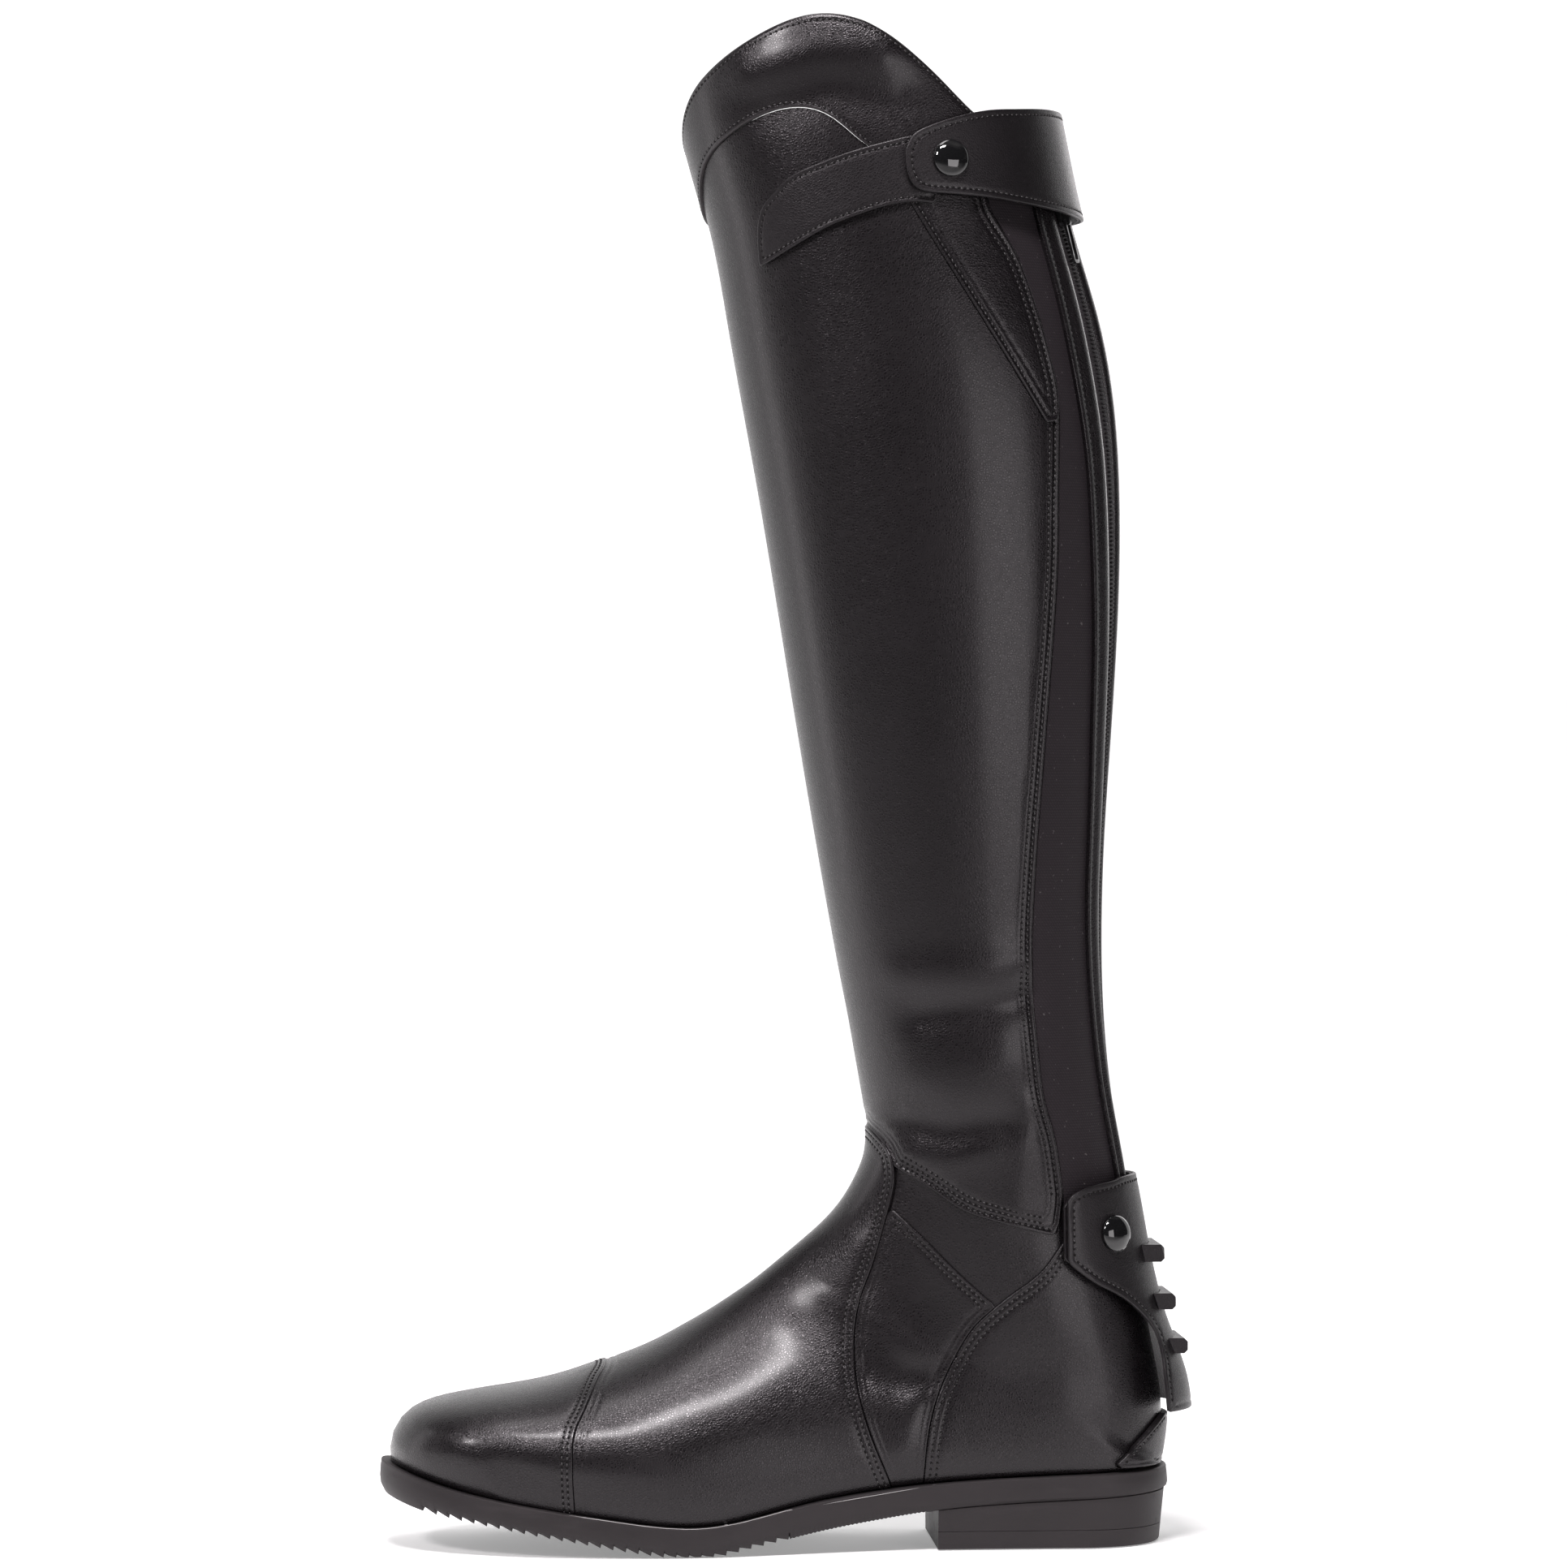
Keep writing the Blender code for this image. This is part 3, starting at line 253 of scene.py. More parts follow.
LEAF_TOP = (
    (-102.6, 442.2), (-103.2, 454.1), (-101.7, 461.6), (-97.4, 466.8), (-92, 472),
    (-80.3, 476.9), (-69.3, 480.6), (-51.8, 485.2), (-42, 487),
)
LEAF_LOW = (
    (-42, 462), (-49.6, 462.7), (-58.6, 461.5), (-69.3, 458.2), (-80.2, 454), (-90.8, 448.1),
    (-100.4, 442.6), (-102.6, 442.2),
)
STRAP_TOP = (
    (-53.4, 480), (-51, 485), (-46.8, 487.8), (-36.2, 491.8), (-24.5, 494.8), (-12.7, 496.2),
    (3, 498), (30, 499.5),
)
STRAP_LOW = (
    (30, 459.6), (8.9, 461.4), (-0.8, 462.3), (-13.3, 463.6), (-24.8, 464.8), (-36.4, 465.4),
    (-46.8, 466.1), (-51.2, 469), (-53, 474), (-53.4, 480),
)
FLAP_TOP = ((4.3, 120), (6.7, 122.5), (13, 125), (21.8, 126.5), (28.6, 127.9), (60, 129))
FLAP_LOW = (
    (40.4, 46.4), (39.4, 58), (38.8, 66), (36.3, 74.5), (29.7, 82), (23.1, 87.1), (14.6, 91.5),
    (7.6, 96.3), (4.4, 99.2),
)
HEEL_STRIP = ((40.6, 44.4), (22.1, 29), (22.6, 27.2), (60, 27.5), (60, 44.4))
ZIP_EDGE = Curve(
    (66, 100, 121, 139, 161, 194, 230, 257, 295, 317, 352, 384, 412),
    (0.106, 0.109, 0.112, 0.11, 0.104, 0.098, 0.09, 0.086, 0.08, 0.08, 0.075, 0.069, 0.06),
)
FLAP_LIFT = Curve(
    (45, 50, 57, 65, 71, 79, 87, 100, 115, 130),
    (10.8, 10.6, 10.1, 8.9, 7.9, 6.6, 5.9, 5.2, 4.9, 4.4),
)
STRAP_LIFT = Curve(
    (-0.14, -0.1, -0.05, 0, 0.06, 0.11, 0.16, 0.26), (3.8, 5.0, 6.0, 6.2, 6.2, 6.0, 5.2, 4.9)
)
FLAP_THICK, STRAP_THICK = 2.2, 2.4


@dataclass(frozen=True)
class Fold:
    """A soft trough or ridge that wear has pressed into the leather, along a side-view line."""

    line: Line
    height: float
    width: float
    side: Side = Side.BOTH

    def lift(self, points: Array) -> Array:
        """Heights of the fold at points of the form."""
        near = np.full(len(points), np.inf)
        for (x0, z0), (x1, z1) in zip(self.line, self.line[1:]):
            run = np.array([x1 - x0, z1 - z0], float)
            from_start = points[:, [0, 2]] - (x0, z0)
            share = np.clip(from_start @ run / (run @ run), 0, 1)
            near = np.minimum(near, np.linalg.norm(from_start - share[:, None] * run, axis=1))
        made = self.height * np.exp(-((near / self.width) ** 2))
        if self.side is Side.BOTH:
            return made
        past = self.side.value * points[:, 1] / SIDE_BLEND
        return made / (1 + np.exp(np.clip(-past, -30, 30)))


FOLDS = (
    Fold(((-104, 508), (-84, 514), (-62, 513)), 2.0, 8.5, Side.OUTER),
    Fold(((-98, 496), (-78, 501), (-56, 498)), -1.2, 8, Side.OUTER),
    Fold(((-52, 198), (-24, 199), (-8, 204)), 1.0, 7, Side.OUTER),
    Fold(((-47, 185), (-24, 187), (-10, 191)), -1.9, 6.5, Side.OUTER),
    Fold(((-42, 163), (-28, 164), (-16, 168)), 1.2, 10, Side.OUTER),
    Fold(((-58, 185), (-30, 187), (-5, 190)), -0.8, 10, Side.INNER),
    Fold(((-54, 149), (-36, 145), (-18, 147)), -1.7, 6.5, Side.OUTER),
    Fold(((-50, 136), (-37, 134.5), (-22, 139)), 0.7, 5.5, Side.OUTER),
    Fold(((-54, 146), (-30, 142), (-10, 144)), -1.2, 6, Side.INNER),
    Fold(((-9, 152), (-10, 134), (-13, 116)), 0.9, 6, Side.OUTER),
    Fold(((-65, 83), (-56, 76), (-45, 66)), 1.0, 5.5, Side.OUTER),
    Fold(((-63, 61), (-53, 58), (-43, 62)), -1.4, 7, Side.OUTER),
    Fold(((-58, 74), (-50, 52), (-48, 36)), -0.7, 5, Side.INNER),
    Fold(((-49, 50), (-52, 36)), 0.7, 5, Side.OUTER),
    Fold(((-75, 88), (-68, 104)), 0.9, 7, Side.OUTER),
    Fold(((-160, 36), (-131, 36), (-112, 46), (-95, 58)), 0.5, 11, Side.OUTER),
    Fold(((-148, 52), (-118, 62), (-98, 76)), -0.3, 11, Side.OUTER),
    Fold(((-12, 60), (4, 62), (18, 58)), -0.5, 10, Side.OUTER),
)


def feather_half(x: Array, side: Array | float, margin: float = 0.0) -> Array:
    """Half width of the foot's outline.

    Args:
        x: Stations along the foot.
        side: Below 0 on the outer side.
        margin: How far the outline is grown outwards.

    Returns:
        Half widths, all positive.
    """
    at = np.clip(x, BALL_X, HEEL_ROUND_X)
    half = np.where(np.asarray(side) < 0, FEATHER_OUTER(at), FEATHER_INNER(at)) + margin
    tip = side * TOE_TIP_Y
    toe = np.clip((BALL_X - x) / (BALL_X - FEATHER_TOE + margin), 0, 1)
    heel = np.clip((x - HEEL_ROUND_X) / (FEATHER_HEEL - HEEL_ROUND_X + margin), 0, 1)
    toe_share = (1 - toe**TOE_SQUARENESS) ** (1 / TOE_SQUARENESS)
    heel_share = (1 - heel**HEEL_SQUARENESS) ** (1 / HEEL_SQUARENESS)
    return np.where(x < BALL_X, tip + (half - tip) * toe_share, half * heel_share)


def toe_outline(share: Array, side: Array) -> Array:
    """Points of the feather line from the toe's root (share 0) to its tip (share 1)."""
    power = 2 / TOE_SQUARENESS
    length = BALL_X - FEATHER_TOE
    root = np.arcsin(((BALL_X - SECTIONS[-1].back_x) / length) ** (1 / power))
    angle = root + (math.pi / 2 - root) * share
    x = BALL_X - length * np.sin(angle) ** power
    wide = np.where(side < 0, FEATHER_OUTER(BALL_X), FEATHER_INNER(BALL_X))
    half = side * TOE_TIP_Y + (wide - side * TOE_TIP_Y) * np.cos(angle) ** power
    return np.stack([x, side * half, SOLE_TOP(x) + GAP], -1)


def eased(share: Array) -> Array:
    """A share from 0 to 1 that starts and ends level."""
    return share * share * (3 - 2 * share)


def above_root(spot: Array) -> Array:
    """How far points are above the sole, as a share of the root's height."""
    return np.clip((spot[..., 2] - SOLE_TOP(spot[..., 0]) - GAP) / ROOT_HEIGHT, 0, 1)


class Last:
    """The boot's outer form by travel, from collar to toe, and by the way round the leg.

    The way round is 0 behind, 0.25 outside, 0.5 in front and 0.75 inside; on the foot it runs from
    the outer feather line (0) over the top to the inner one (1).
    """

    def __init__(self, sections: Sequence[Section]):
        """Fits the curves through the sections."""
        front = np.array([(s.front_x, s.front_z) for s in sections])
        back = np.array([(s.back_x, s.back_z) for s in sections])
        self.seat, self.root = NAMES.index("seat"), NAMES.index("toe_root")
        back[self.seat :, 1] = SOLE_TOP(back[self.seat :, 0]) + GAP
        moved = np.linalg.norm(np.diff(front, axis=0), axis=1)
        moved += np.linalg.norm(np.diff(back, axis=0), axis=1)
        self.travel = np.concatenate([[0], np.cumsum(moved / 2)])
        self.front = [Curve(self.travel, front[:, k]) for k in (0, 1)]
        high, low = slice(0, self.seat + 1), slice(self.seat, None)
        self.back_high = [Curve(self.travel[high], back[high, k]) for k in (0, 1)]
        self.back_low = Curve(self.travel[low], back[low, 0])
        self.value = {
            name: Curve(self.travel, [getattr(s, name) for s in sections])
            for name in ("outer", "inner", "belly", "split", "crown", "base", "ridge")
        }
        shaft = slice(0, NAMES.index("shin_low"))
        self.travel_at_height = Curve(front[shaft, 1], self.travel[shaft])

    def at(self, name: str) -> float:
        """Travel of a named section."""
        return float(self.travel[NAMES.index(name)])

    def back(self, travel: Array) -> tuple[Array, Array, Array]:
        """Back or bottom points of the sections at these travels, and whether they are open."""
        is_open = travel > self.travel[self.seat]
        low_x = self.back_low(travel)
        x = np.where(is_open, low_x, self.back_high[0](travel))
        z = np.where(is_open, SOLE_TOP(low_x) + GAP, self.back_high[1](travel))
        return x, z, is_open

    def point(self, travel: Array | float, around: Array | float) -> Array:
        """Points of the outer form."""
        travel, around = np.broadcast_arrays(np.asarray(travel, float), around)
        side = np.where(around < 0.5, -1.0, 1.0)
        share = 1 - np.abs(2 * around - 1)
        back_x, back_z, is_open = self.back(travel)
        front_x, front_z = self.front[0](travel), self.front[1](travel)
        length = np.hypot(front_x - back_x, front_z - back_z)
        get = {name: curve(travel) for name, curve in self.value.items()}
        wide = np.where(side < 0, get["outer"], get["inner"])
        foot = np.where(is_open, feather_half(back_x, side), 0.0)
        ridge = side * get["ridge"]

        low = np.clip(share / get["split"], 0, 1) * math.pi / 2
        high = np.clip((share - get["split"]) / (1 - get["split"]), 0, 1) * math.pi / 2
        base, crown = 2 / get["base"], 2 / get["crown"]
        below = share < get["split"]
        half = np.where(
            below,
            foot + (wide - foot) * np.sin(low) ** base,
            ridge + (wide - ridge) * np.cos(high) ** crown,
        )
        along = np.where(
            below,
            get["belly"] * (1 - np.cos(low) ** base),
            get["belly"] + (length - get["belly"]) * np.sin(high) ** crown,
        )
        made = np.stack(
            [
                back_x + along * (front_x - back_x) / length,
                side * half,
                back_z + along * (front_z - back_z) / length,
            ],
            -1,
        )
        start, end = self.travel[self.root], self.travel[-1]
        turned = np.clip((travel - start) / (end - start), 0, 1)
        turned = (eased(turned) ** (1 + 6 * share**2))[..., None]
        return made * (1 - turned) + toe_outline(share, side) * turned

    def normal(self, travel: Array, around: Array) -> Array:
        """Unit vectors that point out of the form, level near the sole."""
        travel, around = np.broadcast_arrays(np.asarray(travel, float), around)
        step, turn = 0.4, 0.004
        at = np.clip(around, turn, 1 - turn)
        along = self.point(travel + step, at) - self.point(travel - step, at)
        across = self.point(travel, at + turn) - self.point(travel, at - turn)
        normal = np.cross(across, along)
        closed = travel <= self.travel[self.seat]
        behind = (around < turn) | (around > 1 - turn)
        normal[..., 1] = np.where(closed & behind, 0, normal[..., 1])
        spot = self.point(travel, around)
        height = above_root(spot)
        level = np.maximum(normal[..., 2], 0) * height
        normal[..., 2] = np.where(height < 1, level, normal[..., 2])
        return normal / np.linalg.norm(normal, axis=-1, keepdims=True)

    def lifted(self, travel: Array, around: Array, lift: Array | float) -> Array:
        """Points of the worn form, moved outwards.

        Args:
            travel: Way from the collar to the toe.
            around: Way round the leg; values outside 0 to 1 wrap round.
            lift: Distance outwards from the last.

        Returns:
            Points in millimetres.
        """
        travel, around = np.broadcast_arrays(np.asarray(travel, float), around)
        wrapped = np.mod(around, 1.0)
        around = np.where((wrapped == 0) & (around > 0.5), 1.0, wrapped)
        ends = (around <= 0) | (around >= 1)
        travel = np.where(ends, np.minimum(travel, self.travel[self.root]), travel)
        spot, normal = self.point(travel, around), self.normal(travel, around)
        height = above_root(spot)
        flat = spot.reshape(-1, 3)
        worn = sum(fold.lift(flat) for fold in FOLDS).reshape(height.shape) * height
        moved = spot + normal * (np.asarray(lift) + worn)[..., None]
        moved[..., 2] += (1 - height) * (SOLE_TOP(moved[..., 0]) - SOLE_TOP(spot[..., 0]))
        return moved

    def track(self, travel: Array, around: Array, lift: Array | float) -> tuple[Array, Array]:
        """A path over the worn form, and the vectors that point out of it there."""
        path = self.lifted(travel, around, lift)
        return path, self.lifted(travel, around, lift + 1) - path


LAST = Last(SECTIONS)


def smooth_line(points: Line, parts: int = 6) -> Array:
    """A rounded line through points, by Catmull and Rom's rule."""
    given = np.array(points, float)
    if len(given) < 3:
        return given
    ends = np.vstack([2 * given[0] - given[1], given, 2 * given[-1] - given[-2]])
    rows = []
    for a, b, c, d in zip(ends, ends[1:], ends[2:], ends[3:]):
        for t in np.arange(parts) / parts:
            rows.append(
                0.5 * (2 * b + (c - a) * t + (2 * a - 5 * b + 4 * c - d) * t**2
                       + (3 * b - a - 3 * c + d) * t**3)
            )
    return np.array(rows + [given[-1]])


@dataclass(frozen=True)
class Seam:
    """One stretch of a piece's outline in the side view, with its rows of thread."""

    points: Line
    rows: tuple[float, ...] = ()
    rounded: bool = True


class Outline:
    """A closed side-view outline made of seams."""

    def __init__(self, seams: Sequence[Seam]):
        """Joins the seams into one polygon and remembers which seam each stretch belongs to."""
        self.seams = seams
        lines = [smooth_line(s.points) if s.rounded else np.array(s.points, float) for s in seams]
        self.points = np.vstack(lines)
        self.owner = np.concatenate([np.full(len(line), k) for k, line in enumerate(lines)])
        # The stretch that joins two seams belongs to neither.
        last = np.cumsum([len(line) for line in lines]) - 1
        self.owner[last] = -1

    def distance(self, points: Array, normals: Array) -> tuple[Array, Array]:
        """Distances on the surface from its points to the outline.

        Args:
            points: Points of the last.
            normals: Its normals there.

        Returns:
            Distances, above 0 inside the outline, and the number of the nearest seam.
        """
        flat = points[:, [0, 2]]
        near, owner = np.full(len(flat), np.inf), np.zeros(len(flat), int)
        towards, inside = np.zeros_like(flat), np.zeros(len(flat), bool)
        for k, (a, b) in enumerate(zip(self.points, np.roll(self.points, -1, axis=0))):
            run = b - a
            if run @ run < 1e-12:
                continue
            share = np.clip((flat - a) @ run / (run @ run), 0, 1)
            away = flat - a - share[:, None] * run
            gap = np.linalg.norm(away, axis=1)
            better = gap < near
            near = np.where(better, gap, near)
            owner = np.where(better, self.owner[k], owner)
            towards[better] = away[better] / np.maximum(gap[better], 1e-9)[:, None]
            crosses = (a[1] > flat[:, 1]) != (b[1] > flat[:, 1])
            with np.errstate(divide="ignore", invalid="ignore"):
                at = a[0] + (flat[:, 1] - a[1]) * run[0] / run[1]
            inside ^= crosses & (flat[:, 0] < at)
        lean = towards[:, 0] * normals[:, 0] + towards[:, 1] * normals[:, 2]
        near = near / np.sqrt(np.maximum(1 - lean**2, 0.06))
        return np.where(inside, near, -near), owner


def edges_of(faces: Array) -> Array:
    """The three edges of every triangle, as pairs of corners."""
    return np.concatenate([faces[:, [0, 1]], faces[:, [1, 2]], faces[:, [2, 0]]])


class Grain:
    """A fine net of triangles over the last that can be cut along level lines of a field."""

    def __init__(self, travel: Array, around: Array):
        """Lays triangles over a grid of travels and ways round."""
        rows, columns = travel.shape
        self.travel, self.around = travel.ravel(), around.ravel()
        ids = np.arange(rows * columns).reshape(rows, columns)
        a, b, c, d = ids[:-1, :-1], ids[:-1, 1:], ids[1:, 1:], ids[1:, :-1]
        self.faces = np.concatenate(
            [np.stack([a, b, c], -1).reshape(-1, 3), np.stack([a, c, d], -1).reshape(-1, 3)]
        )
        self.field = np.zeros(len(self.travel))

    def _add(self, ends: Array, level: float) -> Array:
        """New corners where the field has this level, one for each pair of corner ends."""
        key = np.sort(ends, axis=1)
        unique, found = np.unique(key, axis=0, return_inverse=True)
        a, b = unique.T
        share = (level - self.field[a]) / (self.field[b] - self.field[a])
        start = len(self.travel)
        for name in ("travel", "around"):
            value = getattr(self, name)
            setattr(self, name, np.concatenate([value, value[a] + share * (value[b] - value[a])]))
        self.field = np.concatenate([self.field, np.full(len(unique), level)])
        return start + found.reshape(-1)

    def snap(self, level: float, share: float = 0.22) -> None:
        """Moves corners that lie close to a level line on to it, so that no slivers are left."""
        edges = np.unique(np.sort(edges_of(self.faces), axis=1), axis=0)
        a, b = np.concatenate([edges, edges[:, ::-1]]).T
        below = (self.field[a] - level) * (self.field[b] - level) < 0
        a, b = a[below], b[below]
        part = (level - self.field[a]) / (self.field[b] - self.field[a])
        near = part < share
        a, b, part = a[near], b[near], part[near]
        order = np.argsort(-part)
        a, b, part = a[order], b[order], part[order]
        for value in (self.travel, self.around):
            value[a] = value[a] + part * (value[b] - value[a])
        self.field[a] = level

    def cut(self, level: float) -> None:
        """Splits every triangle that the level line crosses."""
        sign = np.sign(np.where(np.abs(self.field - level) < 1e-7, 0, self.field - level))
        signs = sign[self.faces]
        crossed = (signs.min(1) < 0) & (signs.max(1) > 0)
        kept, work, signs = self.faces[~crossed], self.faces[crossed], signs[crossed]
        touching = (signs == 0).any(1)
        turn = np.where(touching, (signs == 0).argmax(1), 0)
        odd = (signs == -np.sign(signs.sum(1))[:, None]).argmax(1)
        turn = np.where(touching, turn, odd)
        index = (turn[:, None] + np.arange(3)) % 3
        work = np.take_along_axis(work, index, 1)
        made = [kept]
        a, b, c = work[touching].T
        if len(a):
            middle = self._add(np.stack([b, c], 1), level)
            made += [np.stack([a, b, middle], 1), np.stack([a, middle, c], 1)]
        a, b, c = work[~touching].T
        if len(a):
            both = self._add(np.concatenate([np.stack([a, b], 1), np.stack([a, c], 1)]), level)
            ab, ac = both[: len(a)], both[len(a) :]
            made += [
                np.stack([a, ab, ac], 1), np.stack([ab, b, c], 1), np.stack([ab, c, ac], 1),
            ]
        self.faces = np.concatenate(made)

    def keep(self, level: float) -> None:
        """Drops every triangle below the level."""
        self.faces = self.faces[self.field[self.faces].mean(1) > level]


def traced(value: Array, level: float) -> list[Array]:
    """Lines of a field on a grid along which it has one level.

    Args:
        value: The field, as rows and columns.
        level: The level that is followed.

    Returns:
        Lines as arrays of (row, column), in order.
    """
    shifted = value - level
    shifted[shifted == 0] = 1e-9
    spots: dict[tuple[int, int, int], tuple[float, float]] = {}
    links: dict[tuple[int, int, int], list[tuple[int, int, int]]] = {}
    above = shifted > 0
    for i, j in np.argwhere(above[:, :-1] != above[:, 1:]):
        t = shifted[i, j] / (shifted[i, j] - shifted[i, j + 1])
        spots[(0, i, j)] = (float(i), j + t)
    for i, j in np.argwhere(above[:-1] != above[1:]):
        t = shifted[i, j] / (shifted[i, j] - shifted[i + 1, j])
        spots[(1, i, j)] = (i + t, float(j))
    corners = above[:-1, :-1].astype(int) + above[1:, :-1] + above[:-1, 1:] + above[1:, 1:]
    for i, j in np.argwhere((corners > 0) & (corners < 4)):
        found = [k for k in ((0, i, j), (1, i, j), (0, i + 1, j), (1, i, j + 1)) if k in spots]
        for a, b in zip(found[::2], found[1::2]):
            links.setdefault(a, []).append(b)
            links.setdefault(b, []).append(a)
    lines, left = [], set(links)
    while left:
        start = next((k for k in sorted(left) if len(links[k]) == 1), None) or min(left)
        line, at = [start], start
        left.discard(start)
        while True:
            onward = [k for k in links[at] if k in left]
            if not onward:
                break
            at = onward[0]
            left.discard(at)
            line.append(at)
        if len(line) > 3:
            lines.append(np.array([spots[k] for k in line]))
    return lines


class Wire:
    """A shader socket that takes part in sums and products."""

    def __init__(self, graph: "Graph", socket: bpy.types.NodeSocket):
        """Wraps a socket of a graph."""
        self.graph, self.socket = graph, socket

    def __add__(self, other: "Wire | float") -> "Wire":
        """Sum."""
        return self.graph.maths("ADD", self, other)

    __radd__ = __add__

    def __mul__(self, other: "Wire | float") -> "Wire":
        """Product."""
        return self.graph.maths("MULTIPLY", self, other)

    __rmul__ = __mul__

    def __sub__(self, other: "Wire | float") -> "Wire":
        """Difference."""
        return self.graph.maths("SUBTRACT", self, other)

    def __rsub__(self, other: "Wire | float") -> "Wire":
        """Difference from a number."""
        return self.graph.maths("SUBTRACT", other, self)


class Graph:
    """The node tree of one material."""

    def __init__(self, name: str):
        """Makes a material with one Principled shader."""
        self.material = bpy.data.materials.new(name)
        self.material.use_nodes = True
        self.tree = self.material.node_tree
        self.shader = self.tree.nodes["Principled BSDF"]

    def node(self, kind: str, settings: dict[str, object], **sockets: object) -> bpy.types.Node:
        """Adds a node.

        Args:
            kind: The node's type.
            settings: Its own settings, set before its sockets.
            **sockets: Values or wires by socket name, with _ for a space; in0, in1 by number.

        Returns:
            The node.
        """
        made = self.tree.nodes.new(kind)
        for key, value in settings.items():
            if key == "stops":
                ramp = made.color_ramp
                for spot, (place, tone) in enumerate(value):
                    stop = ramp.elements[spot] if spot < 2 else ramp.elements.new(place)
                    stop.position, stop.color = place, (tone, tone, tone, 1)
            else:
                setattr(made, key, value)
        for key, value in sockets.items():
            numbered = key[:2] == "in" and key[2:].isdigit()
            self.feed(made.inputs[int(key[2:]) if numbered else key.replace("_", " ")], value)
        return made

    def feed(self, socket: bpy.types.NodeSocket, value: object) -> None:
        """Links a wire to a socket, or sets its value."""
        if isinstance(value, Wire):
            self.tree.links.new(value.socket, socket)
        else:
            socket.default_value = value

    def wire(self, node: bpy.types.Node, output: str | int = 0) -> Wire:
        """One of a node's outputs."""
        return Wire(self, node.outputs[output])

    def maths(self, operation: str, a: Wire | float, b: Wire | float) -> Wire:
        """A Math node on two values."""
        return self.wire(self.node("ShaderNodeMath", {"operation": operation}, in0=a, in1=b))

    def place(self) -> Wire:
        """The point in the object's own space."""
        return self.wire(self.node("ShaderNodeTexCoord", {}), "Object")

    def noise(self, scale: float, detail: float = 3.0, stretch: Triple = (1, 1, 1)) -> Wire:
        """Soft noise from 0 to 1, with this many cells to the metre."""
        spot = self.place()
        if stretch != (1, 1, 1):
            spot = self.wire(self.node("ShaderNodeMapping", {}, Vector=spot, Scale=stretch))
        made = self.node("ShaderNodeTexNoise", {}, Vector=spot, Scale=scale, Detail=detail)
        return self.wire(made, "Fac")

    def threads(self, way: str, scale: float, wander: float) -> Wire:
        """Waves from 0 to 1 like the threads of a cloth, running this way."""
        made = self.node(
            "ShaderNodeTexWave", {"bands_direction": way}, Vector=self.place(), Scale=scale,
            Distortion=wander, Detail=1.0,
        )
        return self.wire(made, "Fac")

    def ramp(self, value: Wire, stops: Sequence[tuple[float, float]]) -> Wire:
        """A value led through a ramp of grey stops."""
        return self.wire(self.node("ShaderNodeValToRGB", {"stops": stops}, Fac=value))

    def mix(self, share: Wire, a: Wire | tuple, b: Wire | tuple) -> Wire:
        """A colour between two colours."""
        full = [(*c, 1) if isinstance(c, tuple) else c for c in (a, b)]
        made = self.node("ShaderNodeMix", {"data_type": "RGBA"}, Factor=share)
        self.feed(made.inputs[6], full[0])
        self.feed(made.inputs[7], full[1])
        return self.wire(made, 2)

    def bump(
        self, height: Wire, distance: float, strength: float, under: Wire | None = None
    ) -> Wire:
        """A bump of this depth in metres, over another one if given."""
        made = self.node("ShaderNodeBump", {}, Height=height, Distance=distance, Strength=strength)
        if under:
            self.feed(made.inputs["Normal"], under)
        return self.wire(made)

    def shade(self, **sockets: object) -> bpy.types.Material:
        """Feeds the shader's sockets and gives the material."""
        for key, value in sockets.items():
            value = (*value, 1) if isinstance(value, tuple) and len(value) == 3 else value
            self.feed(self.shader.inputs[key.replace("_", " ")], value)
        return self.material


